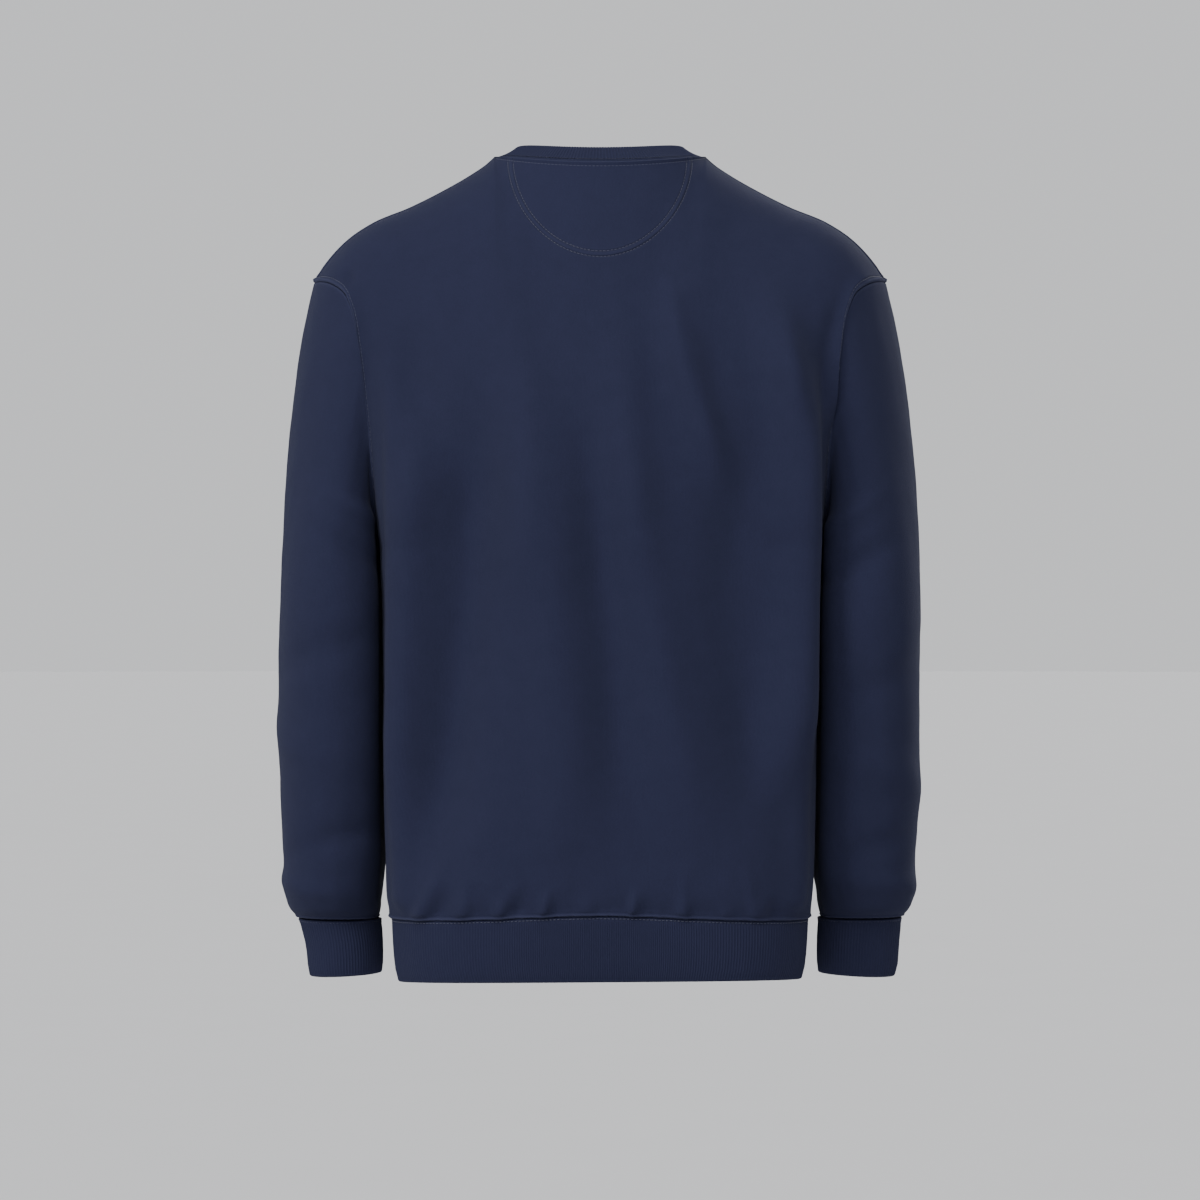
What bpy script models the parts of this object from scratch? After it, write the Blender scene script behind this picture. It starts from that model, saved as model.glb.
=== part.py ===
"""A crewneck sweatshirt, filled out as if worn, with nobody inside it.

Metres, +Z up. The front faces -Y and the wearer's left side is +X. The origin is where the wearer's
neck carries the garment: the middle of the neck opening, level with the tops of the shoulder seams.

Each panel is a surface worked out from the garment's sizes. The trunk has rings from the waistband to
the underarm. From there its threads of cloth run up to the armholes, the shoulder seams and the neck.
The sleeves' threads start at the armholes and hang down to the cuffs. Folds move a surface along its
own normal, and a wall is such a surface with its inner side moved in by the thickness of the cloth.

Across a trunk panel, `across` runs from -1 at the wearer's right to +1 at the left. Along it, `along`
runs from 0 at the waistband to 1 at the underarm and 2 at the shoulder or the neck.
"""
import math
from collections import namedtuple

import bmesh
import bpy
import numpy as np

# ---------------------------------------------------------------- sizes
FLEECE = 0.0020            # thickness of the brushed fleece
RIB = 0.0030               # thickness of a doubled rib band
SEAM_GAP = 0.0003          # space between two pieces at a seam
STEP = 1e-4                # small step that measures a surface's slope
HALF_GIRTH = 0.58          # half way round the trunk
SEAM_EDGE = 1.0 - SEAM_GAP / HALF_GIRTH   # a panel ends just short of its side seams

UNDERARM_Z = -0.332
HEM_SEAM_BACK_Z = -0.6360  # the waistband's seam rises a little at the middle of the back
HEM_SEAM_Z = -0.6435
HEM_Z = -0.6980            # its lower edge at the side seams, the middle of the back and the front
HEM_BACK_Z = -0.6910
HEM_FRONT_Z = -0.6930
HEM_TILT = 0.0012          # it hangs lower by this at the left and higher at the right

NECK_SHARE = 0.45          # share of a panel's top edge that is the neck
NECK_RISE = 2.35           # slope at which the cloth meets the middle of the neck
NECK_HALF_WIDTH = 0.0893
NECK_BACK = 0.070          # from the shoulder seams to the middle of the back neck
NECK_FRONT = 0.080
NECK_BACK_DROP = 0.0096
NECK_FRONT_DROP = 0.078
NECK_FRONT_ROUND = 0.7     # 0 gives a pointed front neck
SHOULDER_Y = -0.006
NECK_SOFTNESS = 0.080      # across a panel, how far its threads even out below the neck's ends

COLLAR_WIDTH = 0.0205
COLLAR_GAP = 0.00070       # a little more than at other seams, as the neck's edge twists
COLLAR_RISE_SIDE = 0.405   # how steeply the collar stands at the sides, the back and the front
COLLAR_RISE_BACK = 0.66
COLLAR_RISE_FRONT = 0.80
COLLAR_CURL = 0.255        # how much less steeply it leaves its seam at the sides, and more at its edge
WAISTBAND_INWARD = (1.0, 2.2, 0.0)   # turns a radius of the wide waistband toward its own normal

BLEND_START = 0.36         # where a sleeve's free shape begins to give way to the trunk beside it
SLEEVE_CLEARANCE = 0.0012
SLEEVE_SOFTNESS = 0.0070   # how gently a sleeve flattens against the trunk
SLEEVE_RING_Z = -0.400     # below this height a sleeve's rings are level
SLEEVE_SQUARE = 2.15       # a sleeve's rings are a little squarer than an ellipse
CUFF_SQUARE = 2.0
SLEEVE_PULL = 0.9          # how strongly a sleeve's cloth keeps its direction as it leaves the armhole
HANGING_LEAN = 0.50        # how far the cloth leans out as it hangs from the underarm
SLEEVE_DROP = 0.35         # how much a sleeve turns down at once where it leaves the armhole
SHOULDER_DROP = 0.90       # and how much more it does so at the top of the shoulder

# the threads that one is evened out with, at shares of the reach to each side, and their weights
EVENING = ((-1.0, 0.0625), (-0.5, 0.25), (0.0, 0.375), (0.5, 0.25), (1.0, 0.0625))

ARMHOLE_EASE_START = 0.40  # across a panel, where the shape of its armhole begins to show
FOLD_SIDE = 0.66           # across a panel, folds die away from here
FOLD_SIDE_END = 0.87       # to here, before the side seams and the armholes,
FOLD_TOP = 1.80            # from here to the shoulders and the neck,
FOLD_RISE = 0.05           # and within this height of the waistband
GATHER_FULL = 0.25         # a gather keeps its full height over this share of its length

# height, half the width, and the depth behind and before the side seams; square rounds the corners
Ring = namedtuple("Ring", "z half_width back front square")
TRUNK = (
    Ring(-0.6435, 0.1772, 0.1070, 0.1165, 3.30),
    Ring(-0.6300, 0.1795, 0.1115, 0.1235, 3.30),
    Ring(-0.5950, 0.1812, 0.1130, 0.1270, 3.30),
    Ring(-0.5300, 0.1828, 0.1125, 0.1290, 3.25),
    Ring(-0.4500, 0.1838, 0.1120, 0.1310, 3.20),
    Ring(-0.3800, 0.1845, 0.1130, 0.1340, 3.10),
    Ring(-0.3320, 0.1865, 0.1150, 0.1355, 3.00),
    Ring(-0.2600, 0.1900, 0.1170, 0.1340, 2.90),
)
WAISTBAND = (
    Ring(-0.6980, 0.1705, 0.1040, 0.1130, 3.20),
    Ring(-0.6920, 0.1722, 0.1055, 0.1145, 3.20),
    Ring(-0.6660, 0.1752, 0.1072, 0.1165, 3.25),
    Ring(-0.6435, 0.1762, 0.1065, 0.1160, 3.30),
)

# How the cloth arches over the shoulders, for the back (1) and the front (-1): how fast its slope
# grows inward of the neck's ends, and how wide the arch is at four places across the panel
Arch = namedtuple("Arch", "rise middle neck_end shoulder tip")
ARCH = {1: Arch(1.42, 0.90, 0.80, 0.92, 0.95), -1: Arch(2.95, 0.80, 0.60, 0.85, 0.95)}
ARCH_ACROSS = (0.0, NECK_SHARE, 0.72, 1.0)

# the shoulder seam, from the neck to the armhole
Place = namedtuple("Place", "x y z")
SHOULDER = (
    Place(0.0893, -0.006, 0.0000),
    Place(0.0960, -0.006, -0.0060),
    Place(0.1097, -0.006, -0.0153),
    Place(0.1335, -0.006, -0.0289),
    Place(0.1607, -0.006, -0.0425),
    Place(0.1930, -0.005, -0.0561),
    Place(0.2134, -0.004, -0.0697),
    Place(0.2270, -0.003, -0.0833),
    Place(0.2363, -0.002, -0.0955),
    Place(0.2430, -0.002, -0.1060),
)
# the armhole seam, from the underarm up to the shoulder seam
ARMHOLE_BACK = (
    Place(0.1865, 0.000, -0.3320),
    Place(0.1880, 0.026, -0.3130),
    Place(0.1895, 0.045, -0.2820),
    Place(0.1915, 0.057, -0.2480),
    Place(0.1950, 0.064, -0.2120),
    Place(0.2005, 0.066, -0.1680),
    Place(0.2060, 0.062, -0.1380),
    Place(0.2140, 0.053, -0.1190),
    Place(0.2260, 0.039, -0.1100),
    Place(0.2370, 0.019, -0.1065),
    Place(0.2430, -0.002, -0.1060),
)
ARMHOLE_FRONT = (
    Place(0.1865, 0.000, -0.3320),
    Place(0.1860, -0.026, -0.3130),
    Place(0.1845, -0.046, -0.2820),
    Place(0.1850, -0.060, -0.2480),
    Place(0.1880, -0.068, -0.2120),
    Place(0.1960, -0.070, -0.1680),
    Place(0.2040, -0.066, -0.1380),
    Place(0.2130, -0.057, -0.1190),
    Place(0.2255, -0.042, -0.1100),
    Place(0.2370, -0.023, -0.1065),
    Place(0.2430, -0.002, -0.1060),
)

# a sleeve's level rings: how far they reach out from and in to the trunk, back and forward
Cut = namedtuple("Cut", "z outer inner back front")
SLEEVE = {
    "left": (
        Cut(-0.6480, 0.2592, 0.1868, 0.0060, -0.0660),
        Cut(-0.6400, 0.2648, 0.1855, 0.0170, -0.0740),
        Cut(-0.6300, 0.2680, 0.1845, 0.0240, -0.0790),
        Cut(-0.6000, 0.2705, 0.1850, 0.0330, -0.0850),
        Cut(-0.5600, 0.2718, 0.1815, 0.0420, -0.0880),
        Cut(-0.5000, 0.2735, 0.1780, 0.0530, -0.0900),
        Cut(-0.4500, 0.2740, 0.1770, 0.0590, -0.0900),
        Cut(-0.4000, 0.2726, 0.1770, 0.0640, -0.0890),
        Cut(-0.3600, 0.2718, 0.1775, 0.0670, -0.0870),
    ),
    "right": (
        Cut(-0.6470, 0.2592, 0.1862, 0.0060, -0.0660),
        Cut(-0.6390, 0.2648, 0.1842, 0.0170, -0.0740),
        Cut(-0.6280, 0.2680, 0.1822, 0.0240, -0.0790),
        Cut(-0.6000, 0.2695, 0.1800, 0.0330, -0.0850),
        Cut(-0.5600, 0.2722, 0.1785, 0.0420, -0.0880),
        Cut(-0.5000, 0.2725, 0.1775, 0.0530, -0.0900),
        Cut(-0.4500, 0.2722, 0.1770, 0.0590, -0.0900),
        Cut(-0.4000, 0.2728, 0.1770, 0.0640, -0.0890),
        Cut(-0.3600, 0.2728, 0.1775, 0.0670, -0.0870),
    ),
}
CUFF = {
    "left": (
        Cut(-0.6960, 0.2487, 0.1870, 0.0010, -0.0600),
        Cut(-0.6900, 0.2500, 0.1862, 0.0022, -0.0612),
        Cut(-0.6700, 0.2523, 0.1860, 0.0030, -0.0620),
        Cut(-0.6560, 0.2560, 0.1868, 0.0030, -0.0620),
        Cut(-0.6480, 0.2580, 0.1880, 0.0030, -0.0620),
    ),
    "right": (
        Cut(-0.6960, 0.2525, 0.1870, 0.0010, -0.0610),
        Cut(-0.6900, 0.2545, 0.1862, 0.0022, -0.0622),
        Cut(-0.6700, 0.2564, 0.1858, 0.0030, -0.0630),
        Cut(-0.6560, 0.2578, 0.1864, 0.0030, -0.0630),
        Cut(-0.6470, 0.2582, 0.1872, 0.0030, -0.0630),
    ),
}
CUFF_TILT = 0.0015         # how far a cuff's lower edge drops at its outer side and rises at its inner
SIDES = {"left": 1.0, "right": -1.0}

# half-moon of fleece inside the back neck
PATCH_HALF_WIDTH = 0.0765
PATCH_DEPTH = 0.0800
PATCH_WALL = 0.0010
PATCH_BELOW_SEAM = 0.0035
PATCH_ARC = math.radians(72.0)  # how far round its half circle the patch reaches to each side
PATCH_CLEARANCE = 0.0008
PATCH_END_CLEARANCE = 0.0012    # more at the patch's ends, where the panel is rounder than its faces

# Folds of the trunk: where the fold's line runs, its width, and its height (below zero for a trough).
# The line goes through (x, z) at its top, middle and bottom, and fades out over the share at each end.
Fold = namedtuple("Fold", "x_top z_top x_mid z_mid x_low z_low width height fade")
BACK_FOLDS = (
    Fold(0.054, -0.150, 0.040, -0.376, 0.022, -0.640, 0.032, 0.0075, 0.30),
    Fold(-0.014, -0.160, -0.042, -0.376, -0.090, -0.610, 0.024, 0.0052, 0.30),
    Fold(-0.052, -0.100, -0.076, -0.200, -0.112, -0.310, 0.015, 0.0056, 0.40),
    Fold(-0.140, -0.095, -0.172, -0.255, -0.152, -0.570, 0.021, 0.0125, 0.22),
    Fold(-0.212, -0.110, -0.190, -0.200, -0.176, -0.300, 0.012, 0.0056, 0.40),
    Fold(0.154, -0.190, 0.162, -0.400, 0.170, -0.625, 0.018, 0.0090, 0.30),
    Fold(0.102, -0.165, 0.114, -0.392, 0.146, -0.640, 0.026, -0.0105, 0.30),
    Fold(0.015, -0.180, -0.003, -0.376, -0.028, -0.610, 0.018, -0.0032, 0.35),
    Fold(-0.124, -0.180, -0.114, -0.360, -0.142, -0.600, 0.027, -0.0095, 0.35),
    Fold(0.165, -0.120, 0.150, -0.200, 0.130, -0.290, 0.022, -0.0044, 0.45),
)
FRONT_FOLDS = (
    Fold(0.080, -0.200, 0.088, -0.420, 0.072, -0.625, 0.026, 0.0075, 0.35),
    Fold(-0.070, -0.190, -0.060, -0.400, -0.092, -0.630, 0.024, 0.0075, 0.35),
    Fold(0.150, -0.170, 0.142, -0.300, 0.120, -0.430, 0.018, 0.0062, 0.40),
    Fold(-0.152, -0.180, -0.146, -0.310, -0.126, -0.450, 0.018, 0.0062, 0.40),
    Fold(0.010, -0.260, 0.016, -0.440, 0.008, -0.620, 0.026, -0.0069, 0.35),
    Fold(0.130, -0.330, 0.138, -0.480, 0.130, -0.620, 0.018, -0.0056, 0.35),
    Fold(-0.125, -0.350, -0.132, -0.490, -0.138, -0.625, 0.018, -0.0056, 0.35),
)
# Gathers above the waistband: how far from the middle, height of the gather's top, width and height
Gather = namedtuple("Gather", "x rise width height lean")
BACK_GATHERS = (
    Gather(0.146, 0.022, 0.0070, 0.0026, 0.10),
    Gather(0.116, 0.026, 0.0080, 0.0030, 0.20),
    Gather(0.085, 0.024, 0.0070, 0.0026, 0.15),
    Gather(0.047, 0.030, 0.0060, 0.0032, 0.25),
    Gather(0.012, 0.018, 0.0070, 0.0020, 0.10),
    Gather(-0.027, 0.030, 0.0060, 0.0032, 0.25),
    Gather(-0.068, 0.024, 0.0070, 0.0028, 0.20),
    Gather(-0.104, 0.018, 0.0070, 0.0020, 0.10),
    Gather(-0.130, 0.026, 0.0070, 0.0028, 0.20),
)
FRONT_GATHERS = (
    Gather(0.140, 0.022, 0.0080, 0.0026, 0.00),
    Gather(0.104, 0.026, 0.0080, 0.0030, -0.15),
    Gather(0.060, 0.022, 0.0070, 0.0026, -0.10),
    Gather(0.022, 0.028, 0.0070, 0.0030, 0.10),
    Gather(-0.030, 0.024, 0.0070, 0.0028, 0.15),
    Gather(-0.072, 0.022, 0.0070, 0.0026, 0.10),
    Gather(-0.116, 0.028, 0.0080, 0.0030, 0.10),
    Gather(-0.148, 0.022, 0.0080, 0.0024, 0.00),
)
# Folds round a sleeve: turn is 0 at its outer side, 90 at its back and 270 at its front, in degrees.
# A fold is a short ridge that crosses the sleeve at z and drops by slant for each degree of turn.
Crease = namedtuple("Crease", "turn z slant turn_width z_width height")
SLEEVE_CREASES = {
    "left": (
        Crease(118.0, -0.306, 0.00040, 34.0, 0.0075, 0.0050),
        Crease(112.0, -0.338, 0.00050, 34.0, 0.0100, -0.0045),
        Crease(80.0, -0.420, -0.00040, 50.0, 0.0160, -0.0030),
        Crease(60.0, -0.500, 0.00030, 60.0, 0.0160, 0.0030),
        Crease(100.0, -0.575, -0.00030, 60.0, 0.0120, -0.0030),
        Crease(40.0, -0.618, 0.00010, 70.0, 0.0090, 0.0026),
        Crease(250.0, -0.330, 0.00040, 36.0, 0.0100, 0.0045),
        Crease(270.0, -0.440, -0.00060, 50.0, 0.0130, -0.0040),
        Crease(280.0, -0.475, 0.00050, 55.0, 0.0120, 0.0045),
        Crease(290.0, -0.560, -0.00040, 60.0, 0.0130, -0.0035),
    ),
    "right": (
        Crease(112.0, -0.312, 0.00050, 34.0, 0.0080, 0.0050),
        Crease(104.0, -0.348, 0.00050, 36.0, 0.0110, -0.0045),
        Crease(70.0, -0.440, 0.00040, 55.0, 0.0160, -0.0030),
        Crease(70.0, -0.520, -0.00030, 60.0, 0.0160, 0.0030),
        Crease(90.0, -0.585, 0.00030, 60.0, 0.0120, -0.0030),
        Crease(50.0, -0.617, -0.00010, 70.0, 0.0090, 0.0026),
        Crease(255.0, -0.336, 0.00050, 36.0, 0.0100, 0.0045),
        Crease(265.0, -0.430, 0.00060, 50.0, 0.0130, -0.0040),
        Crease(275.0, -0.465, -0.00050, 55.0, 0.0120, 0.0045),
        Crease(285.0, -0.550, 0.00040, 60.0, 0.0130, -0.0035),
    ),
}

# how finely each wall is cut into faces: across or round it, and along it
PANEL_CELLS = {1: (48, 24), -1: (40, 22)}
CROWDING = 1.25            # rows stand closer together toward the waistband and the cuffs
SLEEVE_CELLS = 20
WAISTBAND_CELLS = 44
CUFF_CELLS = 18
PATCH_CELLS = (16, 8)

NAVY = (0.026, 0.034, 0.066, 1.0)
RIB_NAVY = (0.022, 0.029, 0.056, 1.0)


# ---------------------------------------------------------------- curves and small helpers
def column(rows, name):
    return np.array([getattr(row, name) for row in rows])


def smooth(knots, values, at):
    """A smooth curve through the values at the knots, which rise."""
    knots = np.asarray(knots)
    values = np.asarray(values)
    slopes = np.gradient(values, knots, axis=0)
    left = np.clip(np.searchsorted(knots, at) - 1, 0, len(knots) - 2)
    span = knots[left + 1] - knots[left]
    share = np.clip((at - knots[left]) / span, 0.0, 1.0)
    if values.ndim > 1:
        span = span[..., None]
        share = share[..., None]
    return hermite(values[left], slopes[left] * span, values[left + 1], slopes[left + 1] * span, share)


def hermite(start, start_pull, end, end_pull, share):
    """The cubic that leaves start along start_pull and reaches end along end_pull."""
    square = share * share
    cube = square * share
    return ((2.0 * cube - 3.0 * square + 1.0) * start + (cube - 2.0 * square + share) * start_pull
            + (3.0 * square - 2.0 * cube) * end + (cube - square) * end_pull)


def ease(low, high, value):
    """From 0 at low to 1 at high, level at both ends."""
    share = np.clip((value - low) / (high - low), 0.0, 1.0)
    return share * share * (3.0 - 2.0 * share)


def bell(distance, width):
    return np.exp(-(distance / width) ** 2)


def point(x, y, z):
    return np.stack(np.broadcast_arrays(x, y, z), axis=-1)


def length(vectors):
    return np.linalg.norm(vectors, axis=-1, keepdims=True)


def unit(vectors):
    return vectors / np.maximum(length(vectors), 1e-12)


def along_curve(places, share):
    """The point at a share of the way along the smooth curve through some places."""
    points = np.array(places)
    steps = np.linalg.norm(np.diff(points, axis=0), axis=1)
    knots = np.concatenate(([0.0], np.cumsum(steps))) / steps.sum()
    return smooth(knots, points, share)


def superellipse_reach(cosine, sine, half_width, depth, square):
    """How far a rounded outline reaches in the direction (cosine, sine)."""
    return (abs(cosine / half_width) ** square + abs(sine / depth) ** square) ** (-1.0 / square)


# ---------------------------------------------------------------- the trunk
def trunk_ring(rings, angle, z, heights=None):
    """A point of the trunk at an angle from the left side seam, with the ring that heights names."""
    heights = z if heights is None else heights
    knots = column(rings, "z")
    cosine = np.cos(angle)
    sine = np.sin(angle)
    back = smooth(knots, column(rings, "back"), heights)
    front = smooth(knots, column(rings, "front"), heights)
    half_width = smooth(knots, column(rings, "half_width"), heights)
    square = smooth(knots, column(rings, "square"), heights)
    reach = superellipse_reach(cosine, sine, half_width, np.where(sine >= 0.0, back, front), square)
    return point(reach * cosine, reach * sine, z)


def trunk_half_width(y, z):
    """Half the trunk's width at a depth y, or 0 past its front and back."""
    knots = column(TRUNK, "z")
    depth = np.where(y >= 0.0, smooth(knots, column(TRUNK, "back"), z),
                     smooth(knots, column(TRUNK, "front"), z))
    square = smooth(knots, column(TRUNK, "square"), z)
    inside = np.clip(1.0 - abs(y / depth) ** square, 0.0, 1.0)
    return smooth(knots, column(TRUNK, "half_width"), z) * inside ** (1.0 / square)


def panel_angle(across, facing):
    """The angle round the trunk at a place across the back (facing 1) or the front (facing -1)."""
    return facing * (1.0 - across) * math.pi / 2.0


def hem_seam_z(angle):
    """The waistband's seam, which is highest at the middle of the back."""
    return HEM_SEAM_Z + (HEM_SEAM_BACK_Z - HEM_SEAM_Z) * np.clip(np.sin(angle), 0.0, 1.0) ** 2


def hem_z(angle):
    """The waistband's lower edge, which rises a little toward the middles of the back and the front."""
    edge = trunk_ring(WAISTBAND, angle, HEM_Z + 0.0 * angle)
    behind = np.clip(edge[..., 1] / WAISTBAND[0].back, 0.0, 1.0)
    before = np.clip(-edge[..., 1] / WAISTBAND[0].front, 0.0, 1.0)
    rise = (HEM_BACK_Z - HEM_Z) * behind + (HEM_FRONT_Z - HEM_Z) * before
    return HEM_Z + rise - HEM_TILT * edge[..., 0] / WAISTBAND[0].half_width


def neck_point(turn):
    """The neck seam, from 0 at the middle of the back round by the left to pi at the front."""
    cosine = np.cos(turn)
    behind = np.clip(cosine, 0.0, 1.0)
    before = np.clip(-cosine, 0.0, 1.0)
    y = SHOULDER_Y + NECK_BACK * behind - NECK_FRONT * before
    deep = before ** 2 * (1.0 + NECK_FRONT_ROUND * (1.0 - before))
    z = -NECK_BACK_DROP * behind ** 2 - NECK_FRONT_DROP * deep
    return point(NECK_HALF_WIDTH * np.sin(turn), y, z)


def panel_top(across, facing):
    """The top edge of a panel: neck in the middle, a shoulder seam at each side."""
    side = np.where(across >= 0.0, 1.0, -1.0)
    turn = across / NECK_SHARE * math.pi / 2.0
    neck = neck_point(np.clip(turn, -math.pi / 2.0, math.pi / 2.0))
    if facing < 0:
        neck = neck_point(math.pi - np.clip(turn, -math.pi / 2.0, math.pi / 2.0))
    share = np.clip((abs(across) - NECK_SHARE) / (1.0 - NECK_SHARE), 0.0, 1.0)
    shoulder = along_curve(SHOULDER, share) * point(side, 1.0, 1.0)
    return np.where((abs(across) > NECK_SHARE)[..., None], shoulder, neck)


def panel_thread(across, along, facing):
    """The free thread of cloth from the underarm's height up to a panel's top edge."""
    angle = panel_angle(across, facing)
    start = trunk_ring(TRUNK, angle, UNDERARM_Z + 0.0 * across)
    above = trunk_ring(TRUNK, angle, UNDERARM_Z + STEP + 0.0 * across)
    end = panel_top(across, facing)
    span = length(end - start)
    to_middle = np.clip(np.cos(np.clip(across / NECK_SHARE, -1.0, 1.0) * math.pi / 2.0), 0.0, 1.0)
    arch = ARCH[facing]
    rise = arch.rise * to_middle + (NECK_RISE - arch.rise) * to_middle ** 2
    pull = smooth(ARCH_ACROSS, (arch.middle, arch.neck_end, arch.shoulder, arch.tip), abs(across))
    end_pull = unit(point(0.0 * across, -facing, rise)) * span * pull[..., None]
    start_pull = unit(above - start) * span
    return hermite(start, start_pull, end, end_pull, along[..., None])


def evened_thread(across, up, facing):
    """The free thread, evened out with those beside it so that no ridge runs down from a neck's end."""
    reach = NECK_SOFTNESS * ease(0.0, 0.25, up) * ease(1.0, 0.75, up)
    reach = np.minimum(reach, 1.0 - abs(across))
    thread = 0.0
    for offset, weight in EVENING:
        thread = thread + weight * panel_thread(across + offset * reach, up, facing)
    return thread


def panel_surface(across, along, facing):
    """A trunk panel before its folds."""
    angle = panel_angle(across, facing)
    seam = hem_seam_z(angle)
    low_share = np.clip(along, 0.0, 1.0)
    z = seam + (UNDERARM_Z - seam) * low_share
    ring_z = HEM_SEAM_Z + (UNDERARM_Z - HEM_SEAM_Z) * low_share
    lower = trunk_ring(TRUNK, angle, z, ring_z)
    up = np.clip(along - 1.0, 0.0, 1.0)
    upper = evened_thread(across, up, facing)
    side = np.where(across >= 0.0, 1.0, -1.0)
    places = ARMHOLE_BACK if facing > 0 else ARMHOLE_FRONT
    armhole = along_curve(places, up)
    edge = panel_thread(np.ones_like(across), up, facing)
    near = np.clip((abs(across) - ARMHOLE_EASE_START) / (1.0 - ARMHOLE_EASE_START), 0.0, 1.0)
    pull = (near ** 2)[..., None]
    upper = upper + (armhole - edge) * pull * point(side, 1.0, 1.0)
    return np.where((along > 1.0)[..., None], upper, lower)


def fold_height(folds, x, z):
    """How far the folds lift the cloth at (x, z)."""
    lift = 0.0 * x
    for fold in folds:
        knots = (fold.z_low, fold.z_mid, fold.z_top)
        line = smooth(knots, (fold.x_low, fold.x_mid, fold.x_top), z)
        share = (z - fold.z_low) / (fold.z_top - fold.z_low)
        present = ease(0.0, fold.fade, share) * ease(0.0, fold.fade, 1.0 - share)
        lift = lift + fold.height * bell(x - line, fold.width) * present
    return lift


def gather_height(gathers, x, rise):
    """How far the gathers lift the cloth at a rise above the waistband's seam."""
    lift = 0.0 * x
    for gather in gathers:
        line = gather.x - gather.lean * rise
        present = 1.0 - ease(GATHER_FULL * gather.rise, gather.rise, rise)
        lift = lift + gather.height * bell(x - line, gather.width) * present
    return lift


def normals_of(surface, first, second, sign):
    """The unit normals of a surface, from small steps that stay inside its edges.

    At a neck's end the threads run along the neck's edge, so the step goes out along the shoulder.
    """
    outward = np.where(first > 0.0, STEP, -STEP)
    at_neck_end = (abs(abs(first) - NECK_SHARE) < STEP) & (second >= 2.0)
    step_first = np.where(at_neck_end, outward, -outward)
    step_second = np.where(second > 0.5, -STEP, STEP)
    here = surface(first, second)
    one = (surface(first + step_first, second) - here) / step_first[..., None]
    two = (surface(first, second + step_second) - here) / step_second[..., None]
    return unit(np.cross(one, two)) * sign


def panel_normals(across, along, facing):
    def surface(first, second):
        return panel_surface(first, second, facing)
    return normals_of(surface, across, along, -facing)


def panel_points(across, along, facing):
    """The outer points of a trunk panel with its folds, and the normals its wall is made along."""
    base = panel_surface(across, along, facing)
    normals = panel_normals(across, along, facing)
    folds = BACK_FOLDS if facing > 0 else FRONT_FOLDS
    gathers = BACK_GATHERS if facing > 0 else FRONT_GATHERS
    x = base[..., 0]
    z = base[..., 2]
    rise = z - hem_seam_z(panel_angle(across, facing))
    at_edges = ease(FOLD_SIDE_END, FOLD_SIDE, abs(across)) * ease(2.0, FOLD_TOP, along)
    lift = fold_height(folds, x, z) * ease(0.0, FOLD_RISE, rise) + gather_height(gathers, x, rise)
    side_seam = (abs(across) > SEAM_EDGE - STEP) & (along <= 1.0)
    shoulder_seam = (abs(across) >= NECK_SHARE) & (along >= 2.0)
    level = np.where((side_seam | shoulder_seam)[..., None], unit(normals * (1.0, 0.0, 1.0)), normals)
    return base + normals * (lift * at_edges)[..., None], level


# ---------------------------------------------------------------- the sleeves
def armhole_loop(share):
    """The left armhole, from 0 at the shoulder seam down the back to 0.5 and up the front to 1."""
    share = np.mod(share, 1.0)
    behind = along_curve(ARMHOLE_BACK, 1.0 - np.clip(share * 2.0, 0.0, 1.0))
    before = along_curve(ARMHOLE_FRONT, np.clip(share * 2.0 - 1.0, 0.0, 1.0))
    return np.where((share <= 0.5)[..., None], behind, before)


def sleeve_start(share):
    """Directions at the armhole: the sleeve's cloth as it leaves, and the trunk panel's normal."""
    share = np.mod(share, 1.0)
    facing_back = share <= 0.5
    up_back = 1.0 - np.clip(share * 2.0, 0.0, 1.0)
    up_front = np.clip(share * 2.0 - 1.0, 0.0, 1.0)
    edge = np.ones_like(share)
    back = panel_surface(edge, 1.0 + up_back, 1) - panel_surface(edge - STEP, 1.0 + up_back, 1)
    front = panel_surface(edge, 1.0 + up_front, -1) - panel_surface(edge - STEP, 1.0 + up_front, -1)
    onward = unit(np.where(facing_back[..., None], back, front))
    seam_line = armhole_loop(share + STEP) - armhole_loop(share - STEP)
    panel_normal = unit(np.cross(onward, seam_line))
    up = np.where(facing_back, up_back, up_front)
    hanging = unit(point(HANGING_LEAN + 0.0 * share, 0.0, -1.0))
    over_top = ease(0.70, 1.0, up)[..., None]
    near_underarm = (1.0 - ease(0.05, 0.45, up))[..., None]
    down = point(0.0 * share, 0.0, -1.0)
    mixed = unit(onward + down * (SLEEVE_DROP + SHOULDER_DROP * over_top))
    return unit(mixed * (1.0 - near_underarm) + hanging * near_underarm), panel_normal


def sleeve_ring(cuts, share, z, square=SLEEVE_SQUARE):
    """A level ring of a sleeve, from its outer side by the back, the inner side and the front."""
    knots = column(cuts, "z")
    outer, inner, back, front = (smooth(knots, column(cuts, name), z)
                                 for name in ("outer", "inner", "back", "front"))
    angle = share * 2.0 * math.pi
    cosine = np.cos(angle)
    sine = np.sin(angle)
    reach = superellipse_reach(cosine, sine, (outer - inner) / 2.0, (back - front) / 2.0, square)
    return point((outer + inner) / 2.0 + reach * cosine, (back + front) / 2.0 + reach * sine, z)


def clear_of_trunk(points, amount):
    """Points moved outward where they would enter the trunk, as a sleeve flattens against it."""
    x, y, z = points[..., 0], points[..., 1], points[..., 2]
    wall = trunk_half_width(y, z) + SLEEVE_CLEARANCE
    apart = x - wall
    pushed = wall + 0.5 * (apart + np.sqrt(apart ** 2 + SLEEVE_SOFTNESS ** 2))
    return point(x + (pushed - x) * amount, y, z)


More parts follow.
